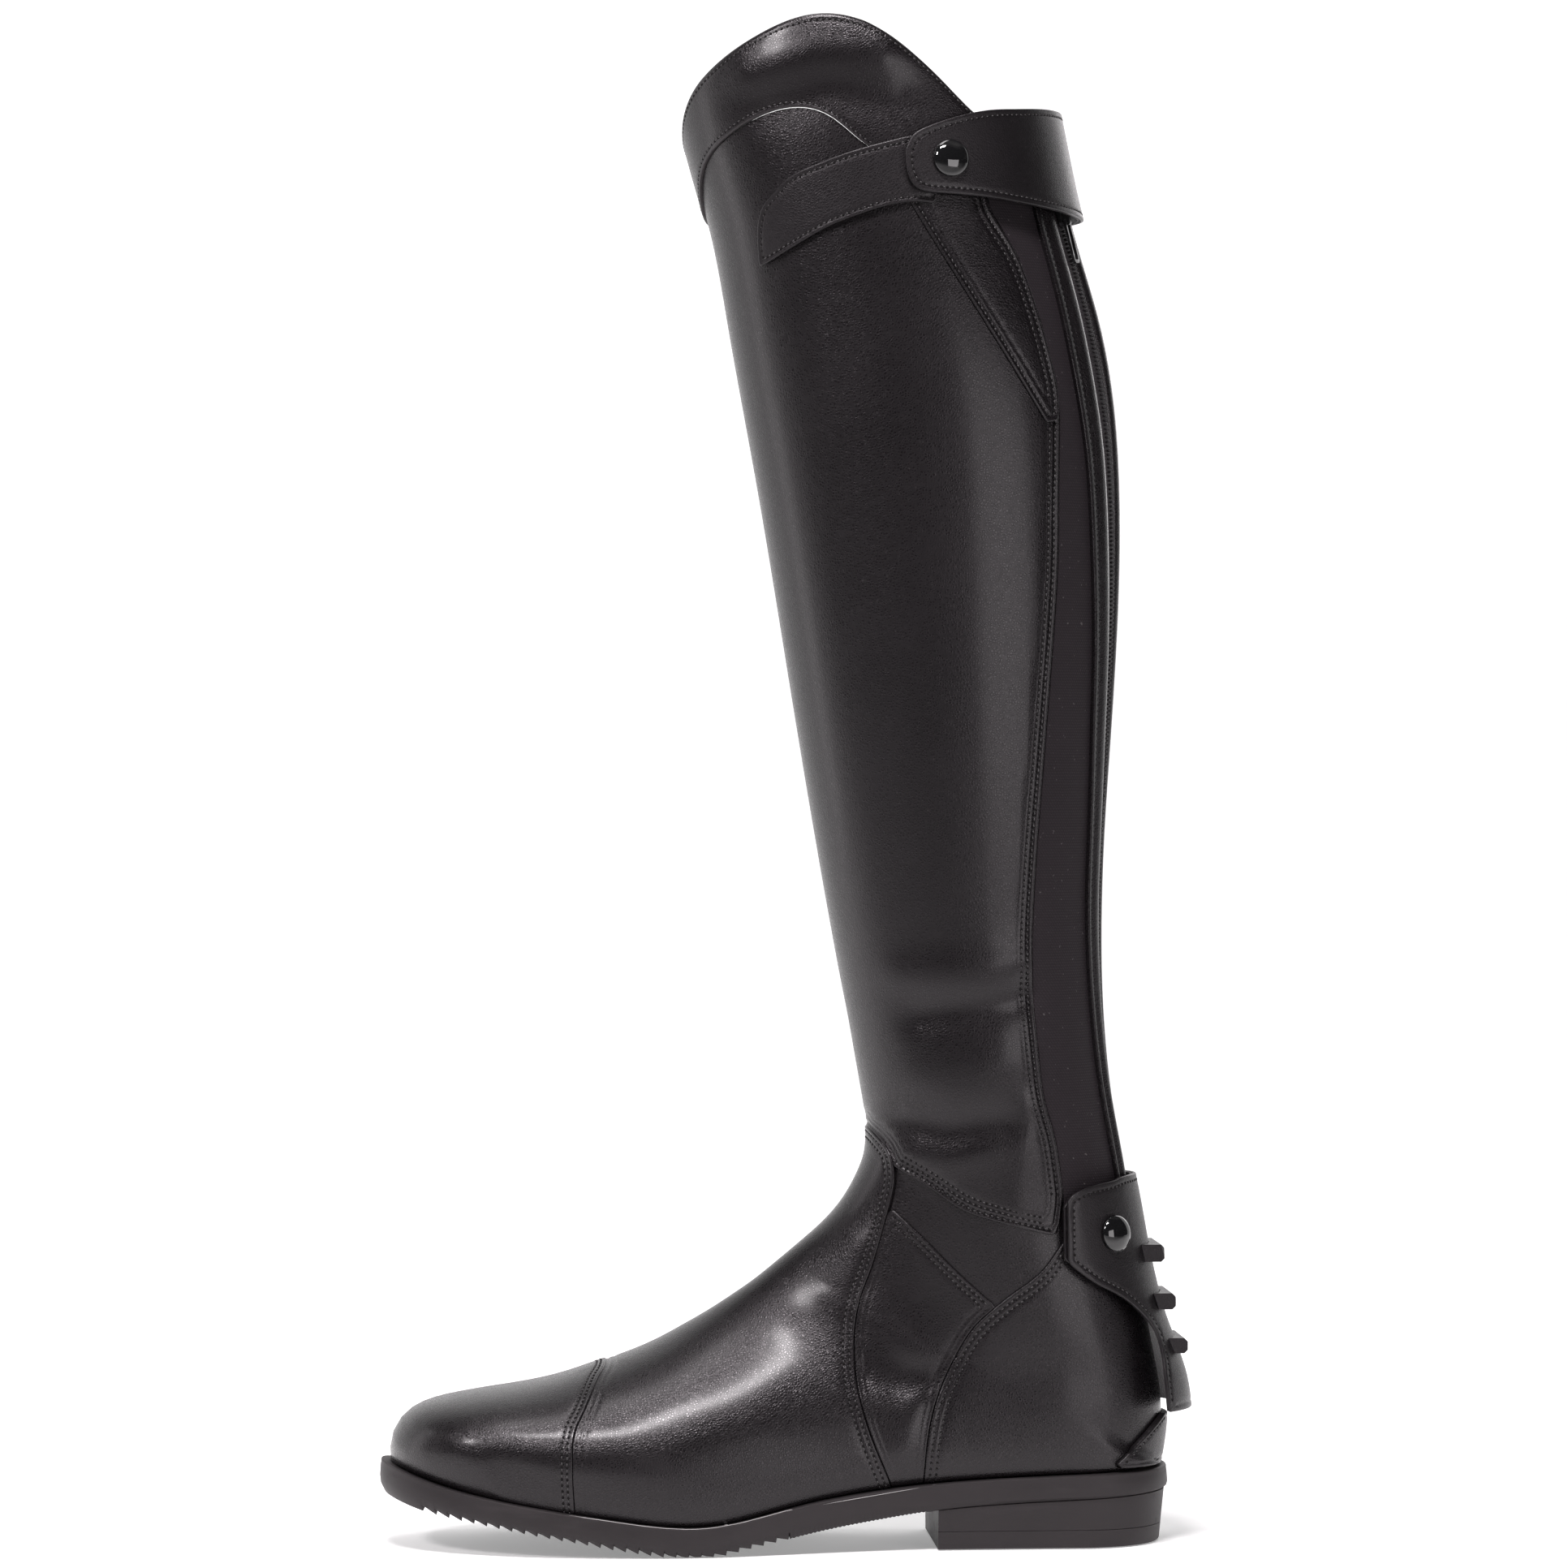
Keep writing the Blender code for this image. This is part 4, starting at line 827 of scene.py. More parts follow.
@dataclass(frozen=True)
class Leather:
    """Smooth black calf: fine pebble, soft coat, lighter and duller along its cut edges."""

    name: str
    dark: Triple = (0.0026, 0.0021, 0.0025)
    light: Triple = (0.0062, 0.0050, 0.0058)
    edge: Triple = (0.055, 0.05, 0.052)
    roughness: float = 0.27
    coat: float = 0.24
    pebble: float = 1150.0
    depth: float = 0.0001

    def make(self) -> bpy.types.Material:
        """Builds the material."""
        g = Graph(self.name)
        warp = g.node("ShaderNodeTexNoise", {}, Vector=g.place(), Scale=420.0, Detail=2.0)
        bent = g.node(
            "ShaderNodeVectorMath", {"operation": "MULTIPLY_ADD"},
            in0=g.wire(warp, "Color"), in1=(0.0007,) * 3, in2=g.place(),
        )
        cells = g.node(
            "ShaderNodeTexVoronoi", {"feature": "DISTANCE_TO_EDGE"},
            Vector=g.wire(bent), Scale=self.pebble,
        )
        pebble = g.ramp(g.wire(cells, "Distance"), ((0.0, 0.0), (0.28, 1.0)))
        fine = g.noise(2600.0, 2.0)
        broad = g.noise(28.0, 3.0)
        pull = g.noise(120.0, 4.0, (1.0, 1.0, 0.35))
        scuff = g.ramp(g.noise(210.0, 6.0, (0.25, 1.0, 1.0)), ((0.6, 0.0), (0.78, 1.0)))
        near = g.wire(g.node("ShaderNodeAttribute", {"attribute_name": "edge_near"}), "Fac")
        speck = g.ramp(g.noise(900.0, 1.0), ((0.76, 0.0), (0.8, 1.0)))
        height = pebble * 0.8 + fine * 0.35 - scuff * 0.25
        waves = g.bump(pull * 0.6 + broad, 0.0011, 0.2)
        grain = g.bump(height, self.depth, 0.6, waves)
        colour = g.mix(broad, self.dark, self.light)
        colour = g.mix(g.maths("MULTIPLY", speck, 0.12), colour, (0.12, 0.11, 0.11))
        colour = g.mix(near * (fine * 0.8 + 0.35), colour, self.edge)
        rough = broad * 0.12 + (self.roughness - 0.08) + scuff * 0.08
        rough = rough + (1 - pebble) * 0.14 + near * 0.25
        return g.shade(
            Base_Color=colour, Roughness=rough, Normal=grain, Coat_Weight=(1 - near) * self.coat,
            Coat_Roughness=0.21, Specular_IOR_Level=0.34, Specular_Tint=(1.0, 0.94, 0.98),
        )


@dataclass(frozen=True)
class Lining:
    """Napped lining leather, a little worn and uneven."""

    name: str
    dark: Triple = (0.028, 0.025, 0.024)
    light: Triple = (0.052, 0.047, 0.044)

    def make(self) -> bpy.types.Material:
        """Builds the material."""
        g = Graph(self.name)
        nap, broad = g.noise(1900.0, 4.0), g.noise(36.0, 4.0)
        colour = g.mix(nap * 0.5 + broad * 0.5, self.dark, self.light)
        return g.shade(
            Base_Color=colour, Roughness=nap * 0.15 + 0.66,
            Normal=g.bump(nap + broad * 0.6, 0.0004, 0.4), Sheen_Weight=0.25, Sheen_Roughness=0.45,
        )


@dataclass(frozen=True)
class Stretch:
    """Matte elastic cloth: fine ribs down the leg, crossed by weft, with a little lint."""

    name: str
    dark: Triple = (0.0075, 0.0058, 0.0070)
    light: Triple = (0.0195, 0.0155, 0.0185)

    def make(self) -> bpy.types.Material:
        """Builds the material."""
        g = Graph(self.name)
        weave = g.threads("DIAGONAL", 400.0, 1.2) * g.threads("Z", 330.0, 0.8)
        lint = g.ramp(g.noise(800.0, 1.0), ((0.73, 0.0), (0.77, 1.0)))
        broad = g.noise(45.0, 3.0)
        colour = g.mix(weave * 0.7 + broad * 0.3, self.dark, self.light)
        colour = g.mix(lint * 0.4, colour, (0.16, 0.15, 0.15))
        return g.shade(
            Base_Color=colour, Roughness=0.72 - weave * 0.1, Normal=g.bump(weave, 0.00022, 0.5),
            Specular_IOR_Level=0.3, Specular_Tint=(1.0, 0.9, 0.96),
        )


@dataclass(frozen=True)
class Rubber:
    """Moulded black rubber with a dusty, scuffed skin."""

    name: str
    dark: Triple = (0.0125, 0.0110, 0.0116)
    light: Triple = (0.0290, 0.0255, 0.0265)
    roughness: float = 0.5

    def make(self) -> bpy.types.Material:
        """Builds the material."""
        g = Graph(self.name)
        fine, broad = g.noise(1500.0, 4.0), g.noise(60.0, 5.0)
        scuff = g.ramp(g.noise(260.0, 6.0, (0.2, 0.5, 1.0)), ((0.56, 0.0), (0.75, 1.0)))
        colour = g.mix(broad * 0.6 + scuff * 0.4, self.dark, self.light)
        return g.shade(
            Base_Color=colour, Roughness=broad * 0.18 + (self.roughness - 0.06) + scuff * 0.14,
            Normal=g.bump(fine + scuff * 0.4, 0.00012, 0.35), Specular_IOR_Level=0.35,
            Specular_Tint=(1.0, 0.93, 0.96),
        )


@dataclass(frozen=True)
class Enamel:
    """Glossy black enamel with faint handling marks."""

    name: str

    def make(self) -> bpy.types.Material:
        """Builds the material."""
        g = Graph(self.name)
        marks = g.ramp(g.noise(420.0, 6.0, (0.2, 1.0, 1.0)), ((0.55, 0.0), (0.8, 1.0)))
        return g.shade(
            Base_Color=g.mix(marks, (0.005, 0.005, 0.0055), (0.02, 0.02, 0.02)),
            Roughness=marks * 0.12 + 0.045, Normal=g.bump(g.noise(140.0, 2.0), 0.0002, 0.06),
            Coat_Weight=0.6, Coat_Roughness=0.03,
        )


@dataclass(frozen=True)
class Gunmetal:
    """Blackened metal, brighter where it rubs."""

    name: str

    def make(self) -> bpy.types.Material:
        """Builds the material."""
        g = Graph(self.name)
        rub = g.ramp(g.noise(350.0, 5.0), ((0.45, 0.0), (0.7, 1.0)))
        return g.shade(
            Base_Color=g.mix(rub, (0.035, 0.034, 0.036), (0.12, 0.12, 0.125)), Metallic=0.9,
            Roughness=0.42 - rub * 0.14, Normal=g.bump(g.noise(1800.0, 3.0), 0.00005, 0.3),
        )


@dataclass(frozen=True)
class Thread:
    """Waxed black sewing thread, twisted, with small bright glints."""

    name: str

    def make(self) -> bpy.types.Material:
        """Builds the material."""
        g = Graph(self.name)
        twist = g.noise(3200.0, 2.0)
        return g.shade(
            Base_Color=g.mix(twist, (0.012, 0.011, 0.012), (0.075, 0.07, 0.072)),
            Roughness=twist * 0.3 + 0.24, Normal=g.bump(twist, 0.0001, 0.5), Coat_Weight=0.35,
            Coat_Roughness=0.2, Specular_IOR_Level=0.3,
        )


@dataclass
class Workshop:
    """The finishes and the tools that every sub-assembly shares."""

    leather: bpy.types.Material = field(init=False)
    strap_leather: bpy.types.Material = field(init=False)
    lining: bpy.types.Material = field(init=False)
    stretch: bpy.types.Material = field(init=False)
    rubber: bpy.types.Material = field(init=False)
    enamel: bpy.types.Material = field(init=False)
    gunmetal: bpy.types.Material = field(init=False)
    thread: bpy.types.Material = field(init=False)
    coil: bpy.types.Material = field(init=False)
    painted_rim_highlight: bpy.types.Material = field(init=False)
    painted_hole_shade: bpy.types.Material = field(init=False)
    rows: bpy.types.NodeTree = field(init=False)
    threads: list[tuple[Array, Array]] = field(default_factory=list)

    def __post_init__(self) -> None:
        """Makes the finishes and the tree that lays threads."""
        self.leather = Leather("calf_leather").make()
        self.strap_leather = Leather("strap_leather", roughness=0.36, coat=0.18).make()
        self.lining = Lining("lining_nap").make()
        self.stretch = Stretch("stretch_cloth").make()
        self.rubber = Rubber("sole_rubber").make()
        self.enamel = Enamel("snap_enamel").make()
        self.gunmetal = Gunmetal("gunmetal").make()
        self.thread = Thread("waxed_thread").make()
        self.coil = Rubber(
            "nylon_coil", (0.004, 0.004, 0.0045), (0.010, 0.009, 0.010), 0.55
        ).make()
        # Light grey glossy rubber for a strip along the outsole's upper rim: a painted highlight.
        self.painted_rim_highlight = Rubber("sole_rim_painted_highlight", (0.3, 0.29, 0.29), (0.5, 0.49, 0.49), 0.26).make()
        # Near-black matte finish for beads at the needle holes: painted shade of the holes.
        self.painted_hole_shade = Rubber("needle_hole_painted_shade", (0.0008,) * 3, (0.002,) * 3, 0.9).make()
        self.rows = row_tree()


def finished(
    name: str, points: Array, faces: Sequence[Sequence[int]], material: bpy.types.Material,
    sharp: float = 48.0,
) -> bpy.types.Object:
    """A closed mesh object from points in millimetres, turned right side out.

    Args:
        name: Name of the piece.
        points: Corners, in millimetres.
        faces: Corner numbers of each face.
        material: Its finish.
        sharp: Angle in degrees past which an edge is drawn sharp.

    Returns:
        The object, linked to the scene.
    """
    mesh = bpy.data.meshes.new(name)
    mesh.from_pydata((np.asarray(points) * MM).tolist(), [], [list(map(int, f)) for f in faces])
    work = bmesh.new()
    work.from_mesh(mesh)
    bmesh.ops.remove_doubles(work, verts=work.verts, dist=0.002 * MM)
    if work.calc_volume(signed=True) < 0:
        bmesh.ops.reverse_faces(work, faces=work.faces)
    work.to_mesh(mesh)
    work.free()
    mesh.materials.append(material)
    mesh.shade_smooth()
    mesh.set_sharp_from_angle(angle=math.radians(sharp))
    made = bpy.data.objects.new(name, mesh)
    bpy.context.scene.collection.objects.link(made)
    return made


def settled(
    piece: bpy.types.Object, replaces: Sequence[str] = ()
) -> bpy.types.Object:
    """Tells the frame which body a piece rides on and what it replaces."""
    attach(piece, BOOT)
    if replaces:
        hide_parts(*replaces)
    LOG.info("%s: %d faces", piece.name, len(piece.data.polygons))
    return piece


def mark_edges(piece: bpy.types.Object, near: Array) -> None:
    """Stores how near each corner is to a cut edge, from 0 to 1, where no corner was merged."""
    if len(piece.data.vertices) == len(near):
        mark = piece.data.attributes.new("edge_near", "FLOAT", "POINT")
        mark.data.foreach_set("value", near.astype(np.float32))


def wall(
    name: str, outside: Array, inside: Array, faces: Array, material: bpy.types.Material,
    near: Array | None = None,
) -> bpy.types.Object:
    """A closed wall between two sheets that share their triangles.

    Args:
        name: Name of the piece.
        outside: Corners of the outer sheet.
        inside: Corners of the inner sheet.
        faces: Triangles of either sheet.
        material: Its finish.
        near: How near each corner is to a cut edge, from 0 to 1.

    Returns:
        The piece.
    """
    _, first, same = np.unique(
        np.round(outside, 3), axis=0, return_index=True, return_inverse=True
    )
    faces = same.reshape(-1)[faces]
    faces = faces[(faces != np.roll(faces, -1, axis=1)).all(1)]
    used, packed = np.unique(faces, return_inverse=True)
    faces, first = packed.reshape(-1, 3), first[used]
    count = len(first)
    edges = edges_of(faces)
    key, back = edges[:, 0] * count + edges[:, 1], edges[:, 1] * count + edges[:, 0]
    rim = edges[~np.isin(key, back)]
    sides = [[b, a, count + a, count + b] for a, b in rim]
    made = finished(
        name, np.vstack([outside[first], inside[first]]),
        faces.tolist() + (faces[:, ::-1] + count).tolist() + sides, material,
    )
    if near is not None:
        mark_edges(made, np.tile(near[first], 2))
    return made


def height_of(lift: Lift, travel: Array, around: Array) -> Array:
    """A lift, given as a number or as a rule, at these places."""
    made = lift(travel, around) if callable(lift) else lift
    return np.broadcast_to(np.asarray(made, float), travel.shape)


def beneath(lift: LiftRule, drop: float) -> LiftRule:
    """A lift this far below another one."""
    return lambda travel, around: lift(travel, around) - drop


@dataclass
class Panel:
    """One cut piece of leather or cloth over the last, with rounded edges and thread rows.

    The net is cut along each thread row and at row_side to both sides of it, except where two cuts
    would lie closer than least_cut.
    """

    name: str
    seams: Sequence[Seam]
    low: Lift
    high: Lift
    first: float
    last: float
    left: float = 0.0
    right: float = 1.0
    step: float = 2.3
    inset: float = 0.0
    rounding: float = 0.45
    groove: float = 0.22
    groove_width: float = 0.55
    thread_sink: float = 0.55
    row_side: float = 0.75
    least_cut: float = 0.28
    worn_edge: float = 0.35
    girth: float = 310.0
    top: Rule | None = None

    def grid(self) -> tuple[Array, Array]:
        """Travels and ways round of a grid fine enough for the piece."""
        rows = max(4, int((self.last - self.first) / self.step))
        widest = self.girth * (self.right - self.left)
        columns = max(4, int(widest / self.step))
        columns += columns % 2
        around = np.linspace(self.left, self.right, columns + 1)
        start = np.full(columns + 1, self.first)
        if self.top is not None:
            start = self.top(np.mod(around, 1))
        share = np.linspace(0, 1, rows + 1)[:, None]
        travel = start[None, :] * (1 - share) + self.last * share
        return travel, np.repeat(around[None, :], rows + 1, axis=0)

    def build(self, shop: Workshop, material: bpy.types.Material) -> bpy.types.Object:
        """Makes the piece and hands its thread rows to the workshop.

        Args:
            shop: The workshop that collects thread rows.
            material: The piece's finish.

        Returns:
            The piece.
        """
        travel, around = self.grid()
        outline = Outline(self.seams)
        spots = LAST.lifted(travel, around, height_of(self.high, travel, around)).reshape(-1, 3)
        normals = LAST.normal(travel, np.mod(around, 1.0)).reshape(-1, 3)
        distance, owner = outline.distance(spots, normals)
        net = Grain(travel, around)
        net.field = distance - self.inset
        net.snap(0.0)
        net.cut(0.0)
        net.keep(0.0)
        rows = sorted({row for seam in self.seams for row in seam.rows})
        levels = [self.rounding * s for s in (0.12, 0.45, 1.0)]
        sides = (-self.row_side, 0.0, self.row_side)
        for level in sorted(row + side for row in rows for side in sides):
            if level - levels[-1] > self.least_cut:
                levels.append(level)
        for level in levels:
            net.cut(level)
        self._threads(shop, travel, around, distance - self.inset, owner)
        share = np.clip(net.field / self.rounding, 0, 1)
        high = height_of(self.high, net.travel, net.around)
        low = height_of(self.low, net.travel, net.around)
        drop = self.rounding * (1 - np.sqrt(np.maximum(1 - (1 - share) ** 2, 0)))
        for row in rows:
            drop = drop + self.groove * np.exp(-(((net.field - row) / self.groove_width) ** 2))
        outside = LAST.lifted(net.travel, net.around, high - drop)
        inside = LAST.lifted(net.travel, net.around, low)
        near = np.exp(-np.maximum(net.field, 0) / self.worn_edge)
        return wall(self.name, outside, inside, net.faces, material, near)

    def _threads(
        self, shop: Workshop, travel: Array, around: Array, distance: Array, owner: Array
    ) -> None:
        """Follows the stitch rows of each seam over the piece."""
        shape = travel.shape
        for number, seam in enumerate(self.seams):
            for row in seam.rows:
                for line in traced(distance.reshape(shape).copy(), row):
                    i, j = line.T
                    at = np.round(i).astype(int), np.round(j).astype(int)
                    mine = owner.reshape(shape)[at] == number
                    turns = np.flatnonzero(np.diff(mine.astype(int))) + 1
                    for part in np.split(np.arange(len(line)), turns):
                        if len(part) > 4 and mine[part[0]]:
                            self._lay(shop, travel, around, line[part])

    def _lay(self, shop: Workshop, travel: Array, around: Array, line: Array) -> None:
        """Hands one row of thread to the workshop, on top of the piece."""
        i, j = line.T
        a = np.minimum(i.astype(int), travel.shape[0] - 2)
        b = np.minimum(j.astype(int), travel.shape[1] - 2)
        s, t = i - a, j - b
        places = []
        for grid in (travel, around):
            places.append(
                grid[a, b] * (1 - s) * (1 - t) + grid[a + 1, b] * s * (1 - t)
                + grid[a, b + 1] * (1 - s) * t + grid[a + 1, b + 1] * s * t
            )
        way, turn = places
        top = height_of(self.high, way, turn) - self.groove * self.thread_sink
        shop.threads.append(LAST.track(way, turn, top))


def row_tree() -> bpy.types.NodeTree:
    """The Geometry Nodes tree that sets one small bead at every pitch along paths.

    Returns:
        The tree, with the inputs Pitch, Size and Finish.
    """
    tree = bpy.data.node_groups.new("bead_rows", "GeometryNodeTree")
    sockets = (
        ("Paths", "INPUT", "NodeSocketGeometry"), ("Pitch", "INPUT", "NodeSocketFloat"),
        ("Size", "INPUT", "NodeSocketVector"), ("Finish", "INPUT", "NodeSocketMaterial"),
        ("Beads", "OUTPUT", "NodeSocketGeometry"),
    )
    for name, way, kind in sockets:
        tree.interface.new_socket(name, in_out=way, socket_type=kind)

    def add(kind: str, settings: dict[str, object] | None = None) -> bpy.types.Node:
        """Adds a node with its settings."""
        made = tree.nodes.new(kind)
        for key, value in (settings or {}).items():
            setattr(made, key, value)
        return made

    given, result = add("NodeGroupInput"), add("NodeGroupOutput")
    curve = add("GeometryNodeMeshToCurve")
    spaced = add("GeometryNodeResampleCurve", {"mode": "LENGTH"})
    bead = add("GeometryNodeMeshUVSphere")
    bead.inputs["Segments"].default_value, bead.inputs["Rings"].default_value = 6, 3
    bead.inputs["Radius"].default_value = 0.5
    sized = add("GeometryNodeTransform")
    tangent = add("GeometryNodeInputTangent")
    outwards = add("GeometryNodeInputNamedAttribute", {"data_type": "FLOAT_VECTOR"})
    outwards.inputs["Name"].default_value = "out"
    along = add("FunctionNodeAlignRotationToVector", {"axis": "X"})
    upright = add("FunctionNodeAlignRotationToVector", {"axis": "Z", "pivot_axis": "X"})
    placed = add("GeometryNodeInstanceOnPoints")
    real = add("GeometryNodeRealizeInstances")
    smooth = add("GeometryNodeSetShadeSmooth")
    dressed = add("GeometryNodeSetMaterial")
    for source, output, target, socket in (
        (given, "Paths", curve, 0), (curve, 0, spaced, "Curve"), (given, "Pitch", spaced, "Length"),
        (bead, 0, sized, "Geometry"), (given, "Size", sized, "Scale"),
        (tangent, 0, along, "Vector"), (along, 0, upright, "Rotation"),
        (outwards, 0, upright, "Vector"), (spaced, 0, placed, "Points"),
        (sized, 0, placed, "Instance"), (upright, 0, placed, "Rotation"), (placed, 0, real, 0),
        (real, 0, smooth, 0), (smooth, 0, dressed, "Geometry"),
        (given, "Finish", dressed, "Material"), (dressed, 0, result, 0),
    ):
        tree.links.new(source.outputs[output], target.inputs[socket])
    return tree


def resampled(points: Array, values: Array, spacing: float) -> tuple[Array, Array]:
    """A path and the values on it, smoothed a little and evenly spaced."""
    if len(points) > 6:
        for _ in range(2):
            middle = (points[:-2] + 2 * points[1:-1] + points[2:]) / 4
            points = np.vstack([points[:1], middle, points[-1:]])
    run = np.concatenate([[0], np.cumsum(np.linalg.norm(np.diff(points, axis=0), axis=1))])
    at = np.linspace(0, run[-1], max(2, int(run[-1] / spacing)))
    return (
        np.stack([np.interp(at, run, points[:, k]) for k in range(3)], 1),
        np.stack([np.interp(at, run, values[:, k]) for k in range(3)], 1),
    )


def beads(
    name: str, tree: bpy.types.NodeTree, paths: Sequence[tuple[Array, Array]], pitch: float,
    size: Triple, material: bpy.types.Material, slot: Slot, skip: float = 0.0,
) -> bpy.types.Object:
    """One mesh of small beads along paths, such as stitches or zip teeth.

    Args:
        name: Name of the piece.
        tree: The tree of row_tree.
        paths: Points and outward vectors of each path, in millimetres.
        pitch: Distance between two beads.
        size: A bead's length along the path, width and height.
        material: Its finish.
        slot: Its slot in the record; not used.
        skip: How much of each path's start is left out.

    Returns:
        The piece.
    """
    points, outs, edges = [], [], []
    left_out = round(skip / PATH_SPACING)
    for path, out in paths:
        path, out = resampled(path, out, PATH_SPACING)
        path, out = path[left_out:], out[left_out:]
        start = len(points)
        points += (path * MM).tolist()
        outs += out.tolist()
        edges += [(start + k, start + k + 1) for k in range(len(path) - 1)]
    mesh = bpy.data.meshes.new(name + "_paths")
    mesh.from_pydata(points, edges, [])
    mark = mesh.attributes.new("out", "FLOAT_VECTOR", "POINT")
    mark.data.foreach_set("vector", np.array(outs, np.float32).ravel())
    made = bpy.data.objects.new(name, mesh)
    bpy.context.scene.collection.objects.link(made)
    modifier = made.modifiers.new("rows", "NODES")
    modifier.node_group = tree
    inputs = {i.name: i.identifier for i in tree.interface.items_tree if i.in_out == "INPUT"}
    modifier[inputs["Pitch"]] = pitch * MM
    modifier[inputs["Size"]] = [side * MM for side in size]
    modifier[inputs["Finish"]] = material
    bpy.context.view_layer.update()
    graph = bpy.context.evaluated_depsgraph_get()
    result = bpy.data.meshes.new_from_object(made.evaluated_get(graph))
    made.modifiers.clear()
    made.data = result
    result.name = name
    return settled(made)


def tube(
    name: str, rows: Array, material: bpy.types.Material, near: Array
) -> bpy.types.Object:
    """A closed ring from rows of points that loop both ways, each row this near to a cut edge."""
    count, columns = rows.shape[:2]
    faces = []
    for i in range(count):
        for j in range(columns):
            k, m = (i + 1) % count, (j + 1) % columns
            faces.append([i * columns + j, i * columns + m, k * columns + m, k * columns + j])
    made = finished(name, rows.reshape(-1, 3), faces, material)
    mark_edges(made, np.repeat(near, columns))
    return made


def facing_travel(around: Array, drop: float = 0.0) -> Array:
    """Travel of the collar facing's lower edge, moved down by drop."""
    return LAST.travel_at_height(FACING(around)) + drop


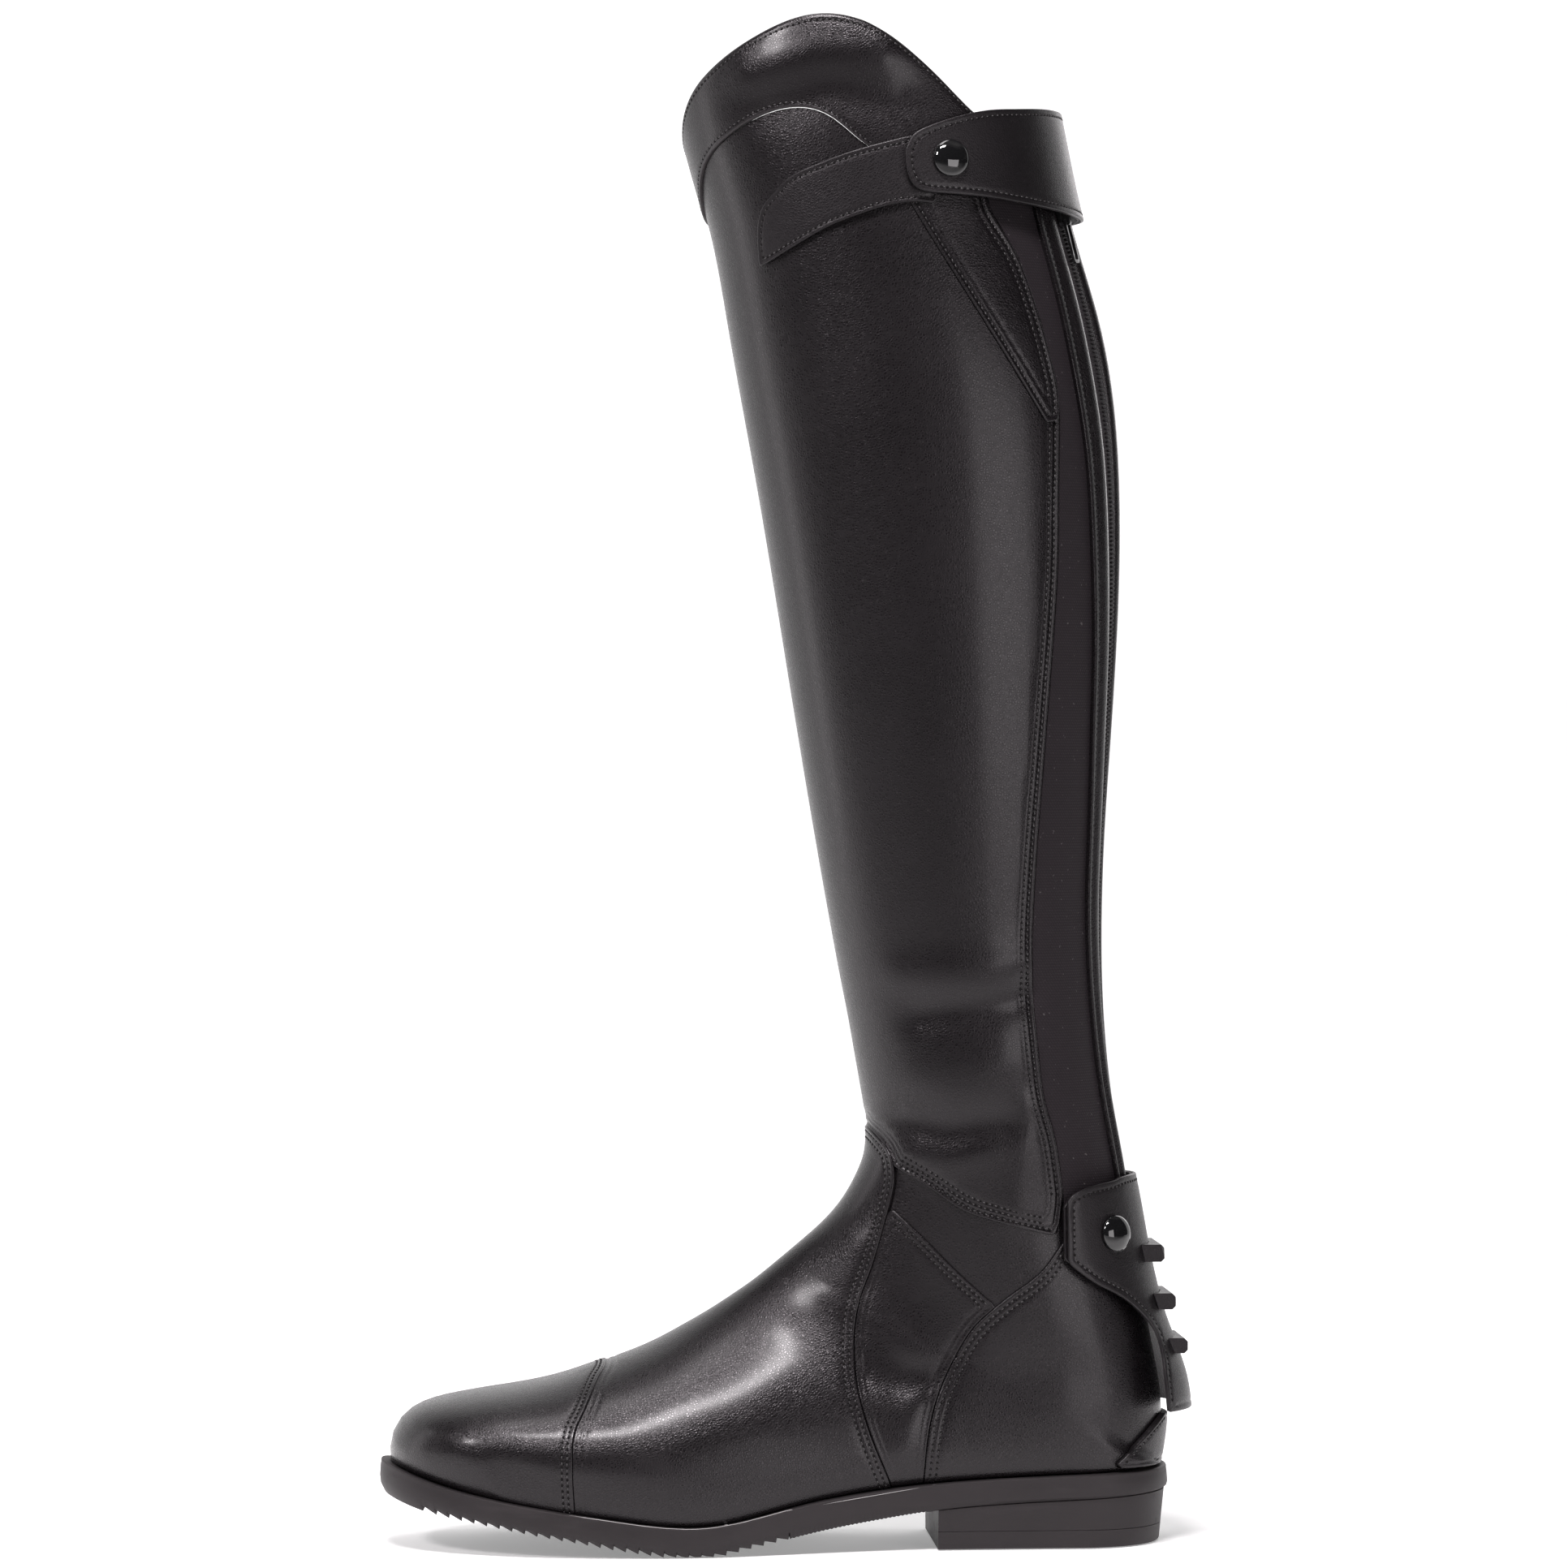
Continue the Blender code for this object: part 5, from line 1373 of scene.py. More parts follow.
@dataclass
class Shaft:
    """The leg of the boot: body, lining, collar facing, panels and the cloth beside the zip."""

    start: float = 60.0
    columns: int = 132
    body_step: float = 3.5
    body_thick: float = 1.05
    blend_length: float = 12.0
    collar_rows: int = 16

    def build(self, shop: Workshop) -> None:
        """Makes every piece of the shaft."""
        self.body(shop)
        self.collar(shop)
        self.panels(shop)

    def layer(
        self, name: str, high: tuple[float, float], low: tuple[float, float],
        material: bpy.types.Material,
    ) -> bpy.types.Object:
        """One layer of the upper's wall from the facing to the feather line.

        Args:
            name: Name of the piece.
            high: Lift of its outside at the facing, and what is added below the blend.
            low: The same of its inside.
            material: Its finish.

        Returns:
            The piece.
        """
        around = np.linspace(0, 1, self.columns + 1)
        last = LAST.at("toe_tip")
        rows = int((last - self.start) / self.body_step)
        share = np.linspace(0, 1, rows)[:, None]
        start = facing_travel(around, 0.2)
        travel = start[None, :] * (1 - share) + last * share
        around = np.repeat(around[None, :], rows, axis=0)
        net = Grain(travel, around)
        depth = eased(np.clip((travel - start[None, :]) / self.blend_length, 0, 1)).ravel()
        outside = LAST.lifted(net.travel, net.around, high[0] + high[1] * depth)
        inside = LAST.lifted(net.travel, net.around, low[0] + low[1] * depth)
        return wall(name, outside, inside, net.faces, material)

    def body(self, shop: Workshop) -> None:
        """The leather body and its lining."""
        thick, inwards = self.body_thick, BASE_INSIDE - FACED_INSIDE
        body = self.layer("upper_body", (BASE, 0.0), (BASE - 0.05, -thick), shop.leather)
        settled(body, ("upper",))
        lining = self.layer(
            "upper_lining", (BASE - 0.1, -thick), (FACED_INSIDE - 0.05, inwards), shop.lining
        )
        settled(lining)

    def collar(self, shop: Workshop) -> None:
        """The facing that folds over the collar's edge, with its two rows of thread."""
        around = np.linspace(0, 1, 2 * self.columns + 1)[:-1]
        low, high = FACING(around), COLLAR(around)
        rows: list[tuple[Array, Array]] = []
        near: list[float] = []

        def add(height: Array, lift: float, edge: float = 0.0) -> None:
            """Adds one row at these heights and this lift."""
            rows.append((height, np.full_like(height, lift)))
            near.append(edge)

        cut = ((0.0, 0.1, 1.0), (0.0, 0.7, 1.0), (0.1, 0.95, 0.8), (0.4, FACED, 0.3))
        for up, lift, edge in cut:
            add(low + up, lift, edge)
        for up, lift in ((1.0, FACED), (1.7, FACED - 0.14), (2.4, FACED)):
            add(low + up, lift)
        for share in np.linspace(0, 1, self.collar_rows)[1:-1]:
            add(low + 3 + (high - low - 6.6) * share, FACED)
        rim = (
            (3.0, FACED), (2.3, FACED - 0.14), (1.6, FACED - 0.02), (0.9, 0.9), (0.35, 0.55),
            (0.05, 0.1), (0.0, -0.35), (0.15, -0.8), (0.5, -1.15), (1.1, -1.35),
            (2.2, FACED_INSIDE),
        )
        for down, lift in rim:
            add(high - down, lift)
        for share in np.linspace(0, 1, self.collar_rows)[1:]:
            add(high - 2.2 + (low - high + 2.2) * share, FACED_INSIDE)
        points = [LAST.lifted(LAST.travel_at_height(height), around, lift) for height, lift in rows]
        piece = tube("collar_facing", np.array(points), shop.leather, np.array(near))
        settled(piece)
        loop = np.linspace(0, 1, 401)
        for height in (FACING(loop) + 1.7, COLLAR(loop) - 2.3):
            shop.threads.append(LAST.track(LAST.travel_at_height(height), loop, FACED - 0.08))

    def panels(self, shop: Workshop) -> None:
        """Shaft panel, stretch cloth, gusset and leaf tab."""

        def top(around: Array) -> Array:
            """Travel at which a panel starts, just below the facing's edge."""
            return facing_travel(around, 0.35)

        front = tuple(reversed(VAMP_EDGE[:3]))
        far = ((-75, 147), (-200, 200), (-200, 540), (-27.5, 540))
        panel = Panel(
            "shaft_panel_leather",
            (
                Seam(GUSSET_EDGE, (2.2,)), Seam(REAR_SEAM, (1.8, 4.0)),
                Seam(ANKLE_SEAM, (1.5, 3.3, 5.1)), Seam(front), Seam(far, rounded=False),
            ),
            UNDER, 0.0, self.start, LAST.at("bend"), step=3.0, top=top,
        )
        settled(panel.build(shop, shop.leather), ("shaft_panel",))
        cloth = Panel(
            "stretch_panel",
            (
                Seam(tuple(reversed(GUSSET_EDGE)), rounded=False),
                Seam(((-30, 540), (80, 540), (80, 100), (3, 108)), rounded=False),
                Seam(tuple(reversed(REAR_SEAM))),
            ),
            BASE + 0.02, BASE + 0.32, self.start, LAST.at("bend"), -0.16, 0.24, inset=0.4,
            rounding=0.2, top=top,
        )
        settled(cloth.build(shop, shop.stretch))
        gusset = Panel(
            "gusset", (Seam(GUSSET_EDGE + REAR_SEAM[:1], (2.0, 4.3)), Seam(GUSSET_FRONT, (1.7,))),
            GAP, 1.0, LAST.at("collar"), LAST.at("calf_low"), 0.02, 0.32, step=1.6, inset=0.1,
        )
        settled(gusset.build(shop, shop.leather), ("top_gusset",))
        leaf = Panel(
            "leaf_tab_leather", (Seam(LEAF_TOP, (1.7,)), Seam(LEAF_LOW, (1.7,))),
            1.2, 2.1, LAST.at("collar"), LAST.at("calf"), 0.12, 0.48, step=1.6,
        )
        settled(leaf.build(shop, shop.strap_leather), ("leaf_tab",))


@dataclass
class Foot:
    """Toe cap, vamp, quarters, heel counter and heel strip."""

    step: float = 2.0
    quarter_step: float = 1.8
    strip_step: float = 1.6

    def build(self, shop: Workshop) -> None:
        """Makes every piece of the foot."""
        cap = Panel(
            "toe_cap_leather",
            (Seam(CAP_EDGE, (1.8, 3.6)), Seam(((-260, 5), (-260, 90)), rounded=False)),
            UNDER, 1.1, LAST.at("instep"), LAST.at("toe_tip"), step=self.step,
        )
        settled(cap.build(shop, shop.leather), ("toe_cap",))
        vamp = Panel(
            "vamp_leather",
            (
                Seam(VAMP_EDGE, (1.7, 3.8)), Seam(tuple(reversed(CAP_EDGE))),
                Seam(((-140, 90), (-110, 120), (-75, 150)), rounded=False),
            ),
            UNDER, 0.5, LAST.at("ankle"), LAST.at("toe_root"), step=self.step,
        )
        settled(vamp.build(shop, shop.leather), ("vamp",))
        for side, left, right in (("outer", 0.0, 0.49), ("inner", 0.51, 1.0)):
            quarter = Panel(
                f"quarter_{side}_leather",
                (
                    Seam(QUARTER_EDGE, (1.5, 3.3)), Seam(COUNTER_EDGE[2:]),
                    Seam(tuple(reversed(VAMP_EDGE[4:]))),
                ),
                UNDER, -0.3, LAST.at("throat"), LAST.at("cap_line"), left, right,
                step=self.quarter_step, inset=0.15,
            )
            settled(quarter.build(shop, shop.leather), (f"quarter_{side}",))
        counter = Panel(
            "heel_counter_leather",
            (
                Seam(COUNTER_EDGE, (1.9, 4.0)),
                Seam(
                    ((20, 5), (28, 27), (60, 27.4), (60, 120), (25, 118), (10, 111.5)),
                    rounded=False,
                ),
            ),
            UNDER, 0.0, LAST.at("ankle"), LAST.at("waist"), step=self.step,
        )
        settled(counter.build(shop, shop.leather), ("heel_counter",))
        strip = Panel(
            "heel_strip_leather",
            (Seam(HEEL_STRIP[:2], (1.6,), rounded=False), Seam(HEEL_STRIP[2:], rounded=False)),
            GAP, 2.3, LAST.at("throat"), LAST.at("waist"), step=self.strip_step, rounding=0.6,
        )
        settled(strip.build(shop, shop.strap_leather), ("heel_strip",))


@dataclass
class Zip:
    """The zip down the back: two folded facings, the tape and its teeth."""

    first: float = 66.5
    rows: int = 170
    widths: tuple[float, ...] = (0.0, 0.036, 0.076, 0.112)
    play: float = 0.0006
    seam: float = 0.24
    tape_lift: float = -0.45
    tooth_rows: tuple[float, float] = (0.43, 0.57)
    tooth_pitch: float = 1.5
    tooth_size: Triple = (0.95, 2.6, 1.3)
    facing: tuple[tuple[float, float], ...] = (
        (0.0, -0.2), (0.0, 0.45), (0.04, 0.72), (0.12, 0.8), (0.2, 0.62), (0.26, 0.35),
        (0.33, 0.55), (0.43, 1.15), (0.55, 1.55), (0.68, 1.65), (0.8, 1.4), (0.9, 0.8),
        (0.96, 0.1), (1.0, -0.6),
    )

    def build(self, shop: Workshop) -> None:
        """Makes the facings, the tape and the teeth."""
        travel = np.linspace(self.first, LAST.at("throat") + 6, self.rows)
        for side, k in (("outer", 0), ("inner", 2)):
            share, lift = np.array(self.facing).T
            seam = self.seam
            if side == "inner":
                share, lift, seam = 1 - share[::-1], lift[::-1], 1 - seam
            start, end = self.widths[k] + self.play, self.widths[k + 1] - self.play
            self.strip(
                f"zip_facing_{side}_leather", travel, start + (end - start) * share, lift,
                shop.leather, (f"zip_facing_{side}",), Slot.LEATHER,
            )
            way = ZIP_EDGE(travel) - (start + (end - start) * seam)
            shop.threads.append(LAST.track(travel, way, 0.42))
        start, end = self.widths[1], self.widths[2]
        share = np.linspace(0, 1, 9)
        across = start + self.play + (end - start - 2 * self.play) * share
        lift = np.full(len(share), self.tape_lift)
        self.strip(
            "zip_tape_cloth", travel, across, lift, shop.stretch, ("zip_tape",), Slot.WEBBING
        )
        paths = [
            LAST.track(travel, ZIP_EDGE(travel) - (start + (end - start) * spot), 0.05)
            for spot in self.tooth_rows
        ]
        beads(
            "zip_teeth", shop.rows, paths, self.tooth_pitch, self.tooth_size, shop.coil, Slot.METAL
        )

    def strip(
        self, name: str, travel: Array, offsets: Array, lift: Array, material: bpy.types.Material,
        replaces: Sequence[str], slot: Slot,
    ) -> None:
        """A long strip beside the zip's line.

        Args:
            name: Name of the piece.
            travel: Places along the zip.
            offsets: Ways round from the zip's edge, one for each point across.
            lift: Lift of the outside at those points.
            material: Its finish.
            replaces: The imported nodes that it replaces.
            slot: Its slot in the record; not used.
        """
        way = ZIP_EDGE(travel)[:, None] - offsets[None, :]
        grid = np.repeat(travel[:, None], len(offsets), 1)
        net = Grain(grid, way)
        high = np.repeat(lift[None, :], len(travel), 0).ravel()
        outside = LAST.lifted(net.travel, net.around, high)
        inside = LAST.lifted(net.travel, net.around, UNDER + 0 * high)
        settled(wall(name, outside, inside, net.faces, material), replaces)


@dataclass
class Straps:
    """The top strap and the spur flap with its under tab."""

    step: float = 1.6
    rounding: float = 0.4
    backing_inset: float = 0.15
    strap_plies: Triple = (1.15, 1.25, STRAP_THICK)
    flap_plies: Triple = (1.05, 1.15, FLAP_THICK)
    under_thick: float = 1.3
    under_step: float = 1.8

    def build(self, shop: Workshop) -> None:
        """Makes the straps."""

        def strap_high(travel: Array, around: Array) -> Array:
            """Lift of the top strap's outside."""
            return STRAP_LIFT(around)

        def flap_high(travel: Array, around: Array) -> Array:
            """Lift of the flap's outside."""
            return FLAP_LIFT(LAST.point(travel, np.mod(around, 1))[..., 2])

        high, low = (float(LAST.travel_at_height(height)) for height in (504.0, 452.0))
        strap = (Seam(STRAP_TOP, (2.1,)), Seam(STRAP_LOW, (2.1,)))
        self.two_ply(
            shop, "top_strap", strap, strap_high, self.strap_plies,
            (high, low, -3 * FACET, 7 * FACET),
        )
        first, last = LAST.at("ankle") + 6, LAST.at("heel") - 6
        flap = (
            Seam(FLAP_TOP, (2.3,)), Seam(((60, 129), (60, 46.4)), rounded=False),
            Seam(FLAP_LOW, (2.3,)), Seam((FLAP_LOW[-1], FLAP_TOP[0]), (2.3,), False),
        )
        self.two_ply(
            shop, "spur_flap", flap, flap_high, self.flap_plies,
            (first, last, -5 * FACET, 5 * FACET),
        )
        inner = beneath(flap_high, FLAP_THICK + GAP)
        outline = ((3.2, 119.5), (3.2, 99.5), (12, 96), (26, 90), (26, 122))
        under = Panel(
            "spur_flap_under_tab", (Seam(outline, rounded=False),),
            beneath(inner, self.under_thick), inner, first, last, 0.0, 5 * FACET,
            step=self.under_step, rounding=self.rounding,
        )
        settled(under.build(shop, shop.strap_leather), ("spur_flap_lining",))

    def two_ply(
        self, shop: Workshop, node: str, seams: Sequence[Seam], high: LiftRule, plies: Triple,
        reach: tuple[float, float, float, float],
    ) -> None:
        """A strap of stitched leather over a backing that is set in from its edge.

        Args:
            shop: The workshop that collects thread rows.
            node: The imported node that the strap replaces.
            seams: Its outline.
            high: Lift of its outside.
            plies: Depths of the leather's inside, the backing's outside and the backing's inside.
            reach: First and last travel, and first and last way round.
        """
        leather, outside, inside = plies
        bare = [replace(seam, rows=()) for seam in seams]
        for name, outline, low, top, inset, nodes in (
            (f"{node}_leather", seams, leather, 0.0, 0.0, (node,)),
            (f"{node}_backing", bare, inside, outside, self.backing_inset, ()),
        ):
            strap = Panel(
                name, outline, beneath(high, low), beneath(high, top), *reach,
                step=self.step, inset=inset, rounding=self.rounding,
            )
            settled(strap.build(shop, shop.strap_leather), nodes)


class Spot(NamedTuple):
    """A place on the boot: an origin and the unit axes across, down and outwards."""

    origin: Array
    across: Array
    down: Array
    out: Array

    def points(self, rows: Array) -> Array:
        """Points given as (across, down, out)."""
        return self.origin + np.asarray(rows, float) @ np.stack([self.across, self.down, self.out])


def spot(height: float, around: float) -> Spot:
    """The place at this height above the floor and this way round the leg."""
    travel = np.linspace(0, LAST.at("seat"), 2000)
    heights = LAST.point(travel, around)[..., 2]
    at = np.interp(-height, -heights, travel)
    origin = LAST.point(at, around)
    out = LAST.normal(at, np.asarray(around))
    down = LAST.point(at + 1, around) - LAST.point(at - 1, around)
    down = down - out * (down @ out)
    down = down / np.linalg.norm(down)
    return Spot(origin, np.cross(down, out), down, out)


@dataclass
class Hardware:
    """Snap caps, the slider and its pull tab."""

    radius: float = 6.4
    segments: int = 72
    strap_snap: tuple[float, float] = (477.2, 0.197)
    flap_snap: tuple[float, float] = (107.8, 0.108)
    profile: tuple[tuple[float, float], ...] = (
        (0.9, 0.0), (0.955, 0.0), (0.985, 0.05), (1.0, 0.14), (1.0, 0.24), (0.985, 0.33),
        (0.95, 0.43), (0.88, 0.56), (0.78, 0.69), (0.64, 0.81), (0.48, 0.9), (0.32, 0.96),
        (0.16, 0.99),
    )

    def build(self, shop: Workshop, nodes: dict[str, bpy.types.Object]) -> None:
        """Makes the caps and dresses the metal nodes."""
        self.cap("strap_snap", spot(*self.strap_snap), 4.9, 8.3, shop.enamel)
        self.cap("flap_snap", spot(*self.flap_snap), 5.0, 8.4, shop.enamel)
        for name in ("zip_slider", "zip_pull_tab"):
            dress(nodes[name], shop.gunmetal)

    def cap(
        self, node: str, place: Spot, low: float, high: float, material: bpy.types.Material
    ) -> None:
        """One domed cap, turned on a lathe, from its low to its high lift above the last."""
        turns = np.linspace(0, 2 * math.pi, self.segments, endpoint=False)
        rows = [
            (self.radius * r * math.cos(t), self.radius * r * math.sin(t), low + (high - low) * h)
            for r, h in self.profile for t in turns
        ]
        rows.append((0, 0, high))
        count = self.segments
        faces: list[list[int]] = [list(range(count))[::-1]]
        for i in range(len(self.profile) - 1):
            for k in range(count):
                a, b = i * count + k, i * count + (k + 1) % count
                faces.append([a, b, b + count, a + count])
        start = (len(self.profile) - 1) * count
        faces += [[start + k, start + (k + 1) % count, len(rows) - 1] for k in range(count)]
        made = finished(f"{node}_cap", place.points(rows), faces, material, 60)
        settled(made, (node,))


def dress(node: bpy.types.Object, material: bpy.types.Material) -> None:
    """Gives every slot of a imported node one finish."""
    for slot in node.material_slots:
        slot.material = material
    if not node.material_slots:
        node.data.materials.append(material)


def below(rule: Rule, drop: float) -> Rule:
    """A height rule this far below another one."""
    return lambda x: rule(x) - drop


def level_at(height: float) -> Rule:
    """A height rule with one height everywhere."""
    return lambda x: 0 * x + height


@dataclass
class Sole:
    """Outsole with its saw-tooth tread, heel block and top piece, each with rounded rims."""

    pitch: float = 4.3
    depth: float = 1.5
    tread_front: float = -217.0
    tread_back: float = -92.0
    fine_back: float = -44.0
    fine_pitch: float = 1.45
    fine_depth: float = 0.3
    gullet: float = 0.3
    rim: float = SOLE_MARGIN
    base_margin: float = 3.4
    wall_depth: float = 6.4
    flank_station: float = 1.5
    heel_trim: float = 0.6
    trim_start: float = -62.0
    trim_length: float = 30.0
    # Where the light strip along the outsole's rim lies and over what length its ends fade: a
    # painted highlight.
    painted_highlight_middle: float = -105.0
    painted_highlight_half: float = 55.0
    painted_highlight_fade: float = 25.0

    def build(self, shop: Workshop, nodes: dict[str, bpy.types.Object]) -> None:
        """Makes the sole and dresses the insole."""
        self.outsole(shop)
        self.heel(shop)
        dress(nodes["insole"], shop.lining)

    def tread(self, x: Array) -> Array:
        """Height of the sole's under face with its teeth and fine ribs."""
        flank = self.pitch - self.gullet
        place = np.mod(x - self.tread_front, self.pitch) / flank
        root = np.where(place <= 1, 1 - place, (place - 1) * flank / self.gullet)
        toothed = (x > self.tread_front) & (x < self.tread_back)
        ribs = (x >= self.tread_back) & (x < self.fine_back)
        rib = 0.5 - 0.5 * np.cos((x - self.tread_back) * 2 * math.pi / self.fine_pitch)
        made = TREAD(x) + np.where(toothed, self.depth * root, 0)
        return np.maximum(made + np.where(ribs, self.fine_depth * rib, 0), 0)

    def slab(
        self, name: str, stations: Array, levels: Sequence[tuple[float, Rule]],
        material: bpy.types.Material, trim: float = 0.0,
    ) -> bpy.types.Object:
        """A plate that follows the feather line.

        Args:
            name: Name of the piece.
            stations: Places along the foot.
            levels: A margin and a rule for the height, from the top down.
            material: Its finish.
            trim: How much narrower it is at the heel.

        Returns:
            The plate.
        """
        points, faces = [], []
        narrowed = trim * np.clip((stations - self.trim_start) / self.trim_length, 0, 1)
        for level_margin, height in levels:
            margin = level_margin - narrowed
            toe = (BALL_X - FEATHER_TOE + margin) / (BALL_X - FEATHER_TOE)
            heel = (FEATHER_HEEL - HEEL_ROUND_X + margin) / (FEATHER_HEEL - HEEL_ROUND_X)
            x = np.where(stations < BALL_X, BALL_X + (stations - BALL_X) * toe, stations)
            x = np.where(x > HEEL_ROUND_X, HEEL_ROUND_X + (x - HEEL_ROUND_X) * heel, x)
            for side in (-1, 1):
                points += list(np.stack([x, side * feather_half(x, side, margin), height(x)], -1))
        count, tops = len(stations), len(levels) - 1
        for k in range(count - 1):
            for level, turn in ((0, 1), (tops, -1)):
                a = 2 * level * count + k
                faces.append([a, a + 1, a + count + 1, a + count][::turn])
            for level in range(tops):
                for side in (0, 1):
                    a = (2 * level + side) * count + k
                    faces.append([a, a + 1, a + 1 + 2 * count, a + 2 * count][:: 1 - 2 * side])
        for k in (0, count - 1):
            ring = [2 * level * count + k for level in range(tops + 1)]
            faces.append(ring + [a + count for a in reversed(ring)])
        return finished(name, np.array(points), faces, material, 35)

    def outsole(self, shop: Workshop) -> None:
        """The outsole, with a light grey strip along its upper rim that is a painted highlight."""
        teeth = np.arange(self.tread_front, self.tread_back, self.pitch)
        toe = (BALL_X - FEATHER_TOE) / (BALL_X - FEATHER_TOE + self.base_margin)
        roots = teeth + self.pitch - self.gullet
        steps = np.concatenate([teeth + 0.001, teeth + self.flank_station, roots])
        steps = np.where(steps < BALL_X, BALL_X + (steps - BALL_X) * toe, steps)
        share = (1 - np.cos(np.linspace(0, math.pi, 120))) / 2
        smooth = FEATHER_TOE + (FEATHER_HEEL - FEATHER_TOE) * share
        fine = np.arange(self.tread_back, self.fine_back, self.fine_pitch / 4)
        steps = np.unique(np.round(np.concatenate([steps, fine]), 2))
        smooth = [x for x in smooth if np.min(np.abs(steps - x)) > 0.25]
        stations = np.unique(np.concatenate([steps, smooth]))
        rim = self.rim
        profile = (
            (4.0, 0.0), (1.1, 0.0), (0.5, 0.12), (0.12, 0.45), (0.0, 0.95), (0.05, 1.5),
            (-0.15, 2.4), (-0.4, 6.2),
        )
        levels = [(rim - inset, below(SOLE_TOP, drop)) for inset, drop in profile]
        levels += [
            (rim + 0.1, lambda x: (SOLE_TOP(x) - self.wall_depth) * 0.5 + self.tread(x) * 0.5),
            (self.base_margin, self.tread),
        ]
        piece = self.slab("outsole_rubber", stations, levels, shop.rubber, self.heel_trim)
        settled(piece, ("outsole",))

        def sunk(x: Array) -> Array:
            """How far the two ends of the painted highlight strip sink into the rim."""
            past = np.abs(x - self.painted_highlight_middle) - self.painted_highlight_half
            return 0.5 * np.clip(past / self.painted_highlight_fade, 0, 1)

        # The light grey strip on the rim paints the highlight along its top edge.
        painted_highlight_levels = [
            (rim - inset, lambda x, drop=drop: SOLE_TOP(x) - drop - sunk(x))
            for inset, drop in ((0.95, 0.06), (0.62, -0.08), (0.36, 0.1), (0.6, 0.2))
        ]
        reach = self.painted_highlight_half + self.painted_highlight_fade
        seen = np.array([x for x in smooth if abs(x - self.painted_highlight_middle) < reach])
        piece = self.slab("outsole_rim_painted_highlight", seen, painted_highlight_levels, shop.painted_rim_highlight, self.heel_trim)
        settled(piece)

    def heel(self, shop: Workshop) -> None:
        """The heel block and the top piece under it."""
        share = np.sin(np.linspace(0, math.pi / 2, 60))
        stations = HEEL_BREAST_X + (FEATHER_HEEL - HEEL_BREAST_X) * share
        margin = SOLE_MARGIN - HEEL_INSET + 1.2
        foot = HEEL_PIECE + GAP
        block = (
            (margin - 0.1, below(TREAD, 0.05)), (margin, below(TREAD, 0.15)),
            (margin - 1.2, level_at(foot)), (margin - 1.35, level_at(foot - 0.12)),
        )
        piece = self.slab("heel_block_rubber", stations, block, shop.rubber)
        settled(piece, ("heel_block",))
        top = (
            (margin - 1.35, level_at(foot - 0.15)), (margin - 1.2, level_at(foot - 0.28)),
            (margin - 1.7, level_at(0.7)), (margin - 2.0, level_at(0.2)),
            (margin - 2.3, level_at(0.0)),
        )
        piece = self.slab("heel_top_piece_rubber", stations, top, shop.rubber)
        settled(piece, ("heel_top_piece",))


class Lamp(NamedTuple):
    """One soft rectangular light."""

    name: str
    place: Triple
    aim: Triple
    size: tuple[float, float]
    power: float


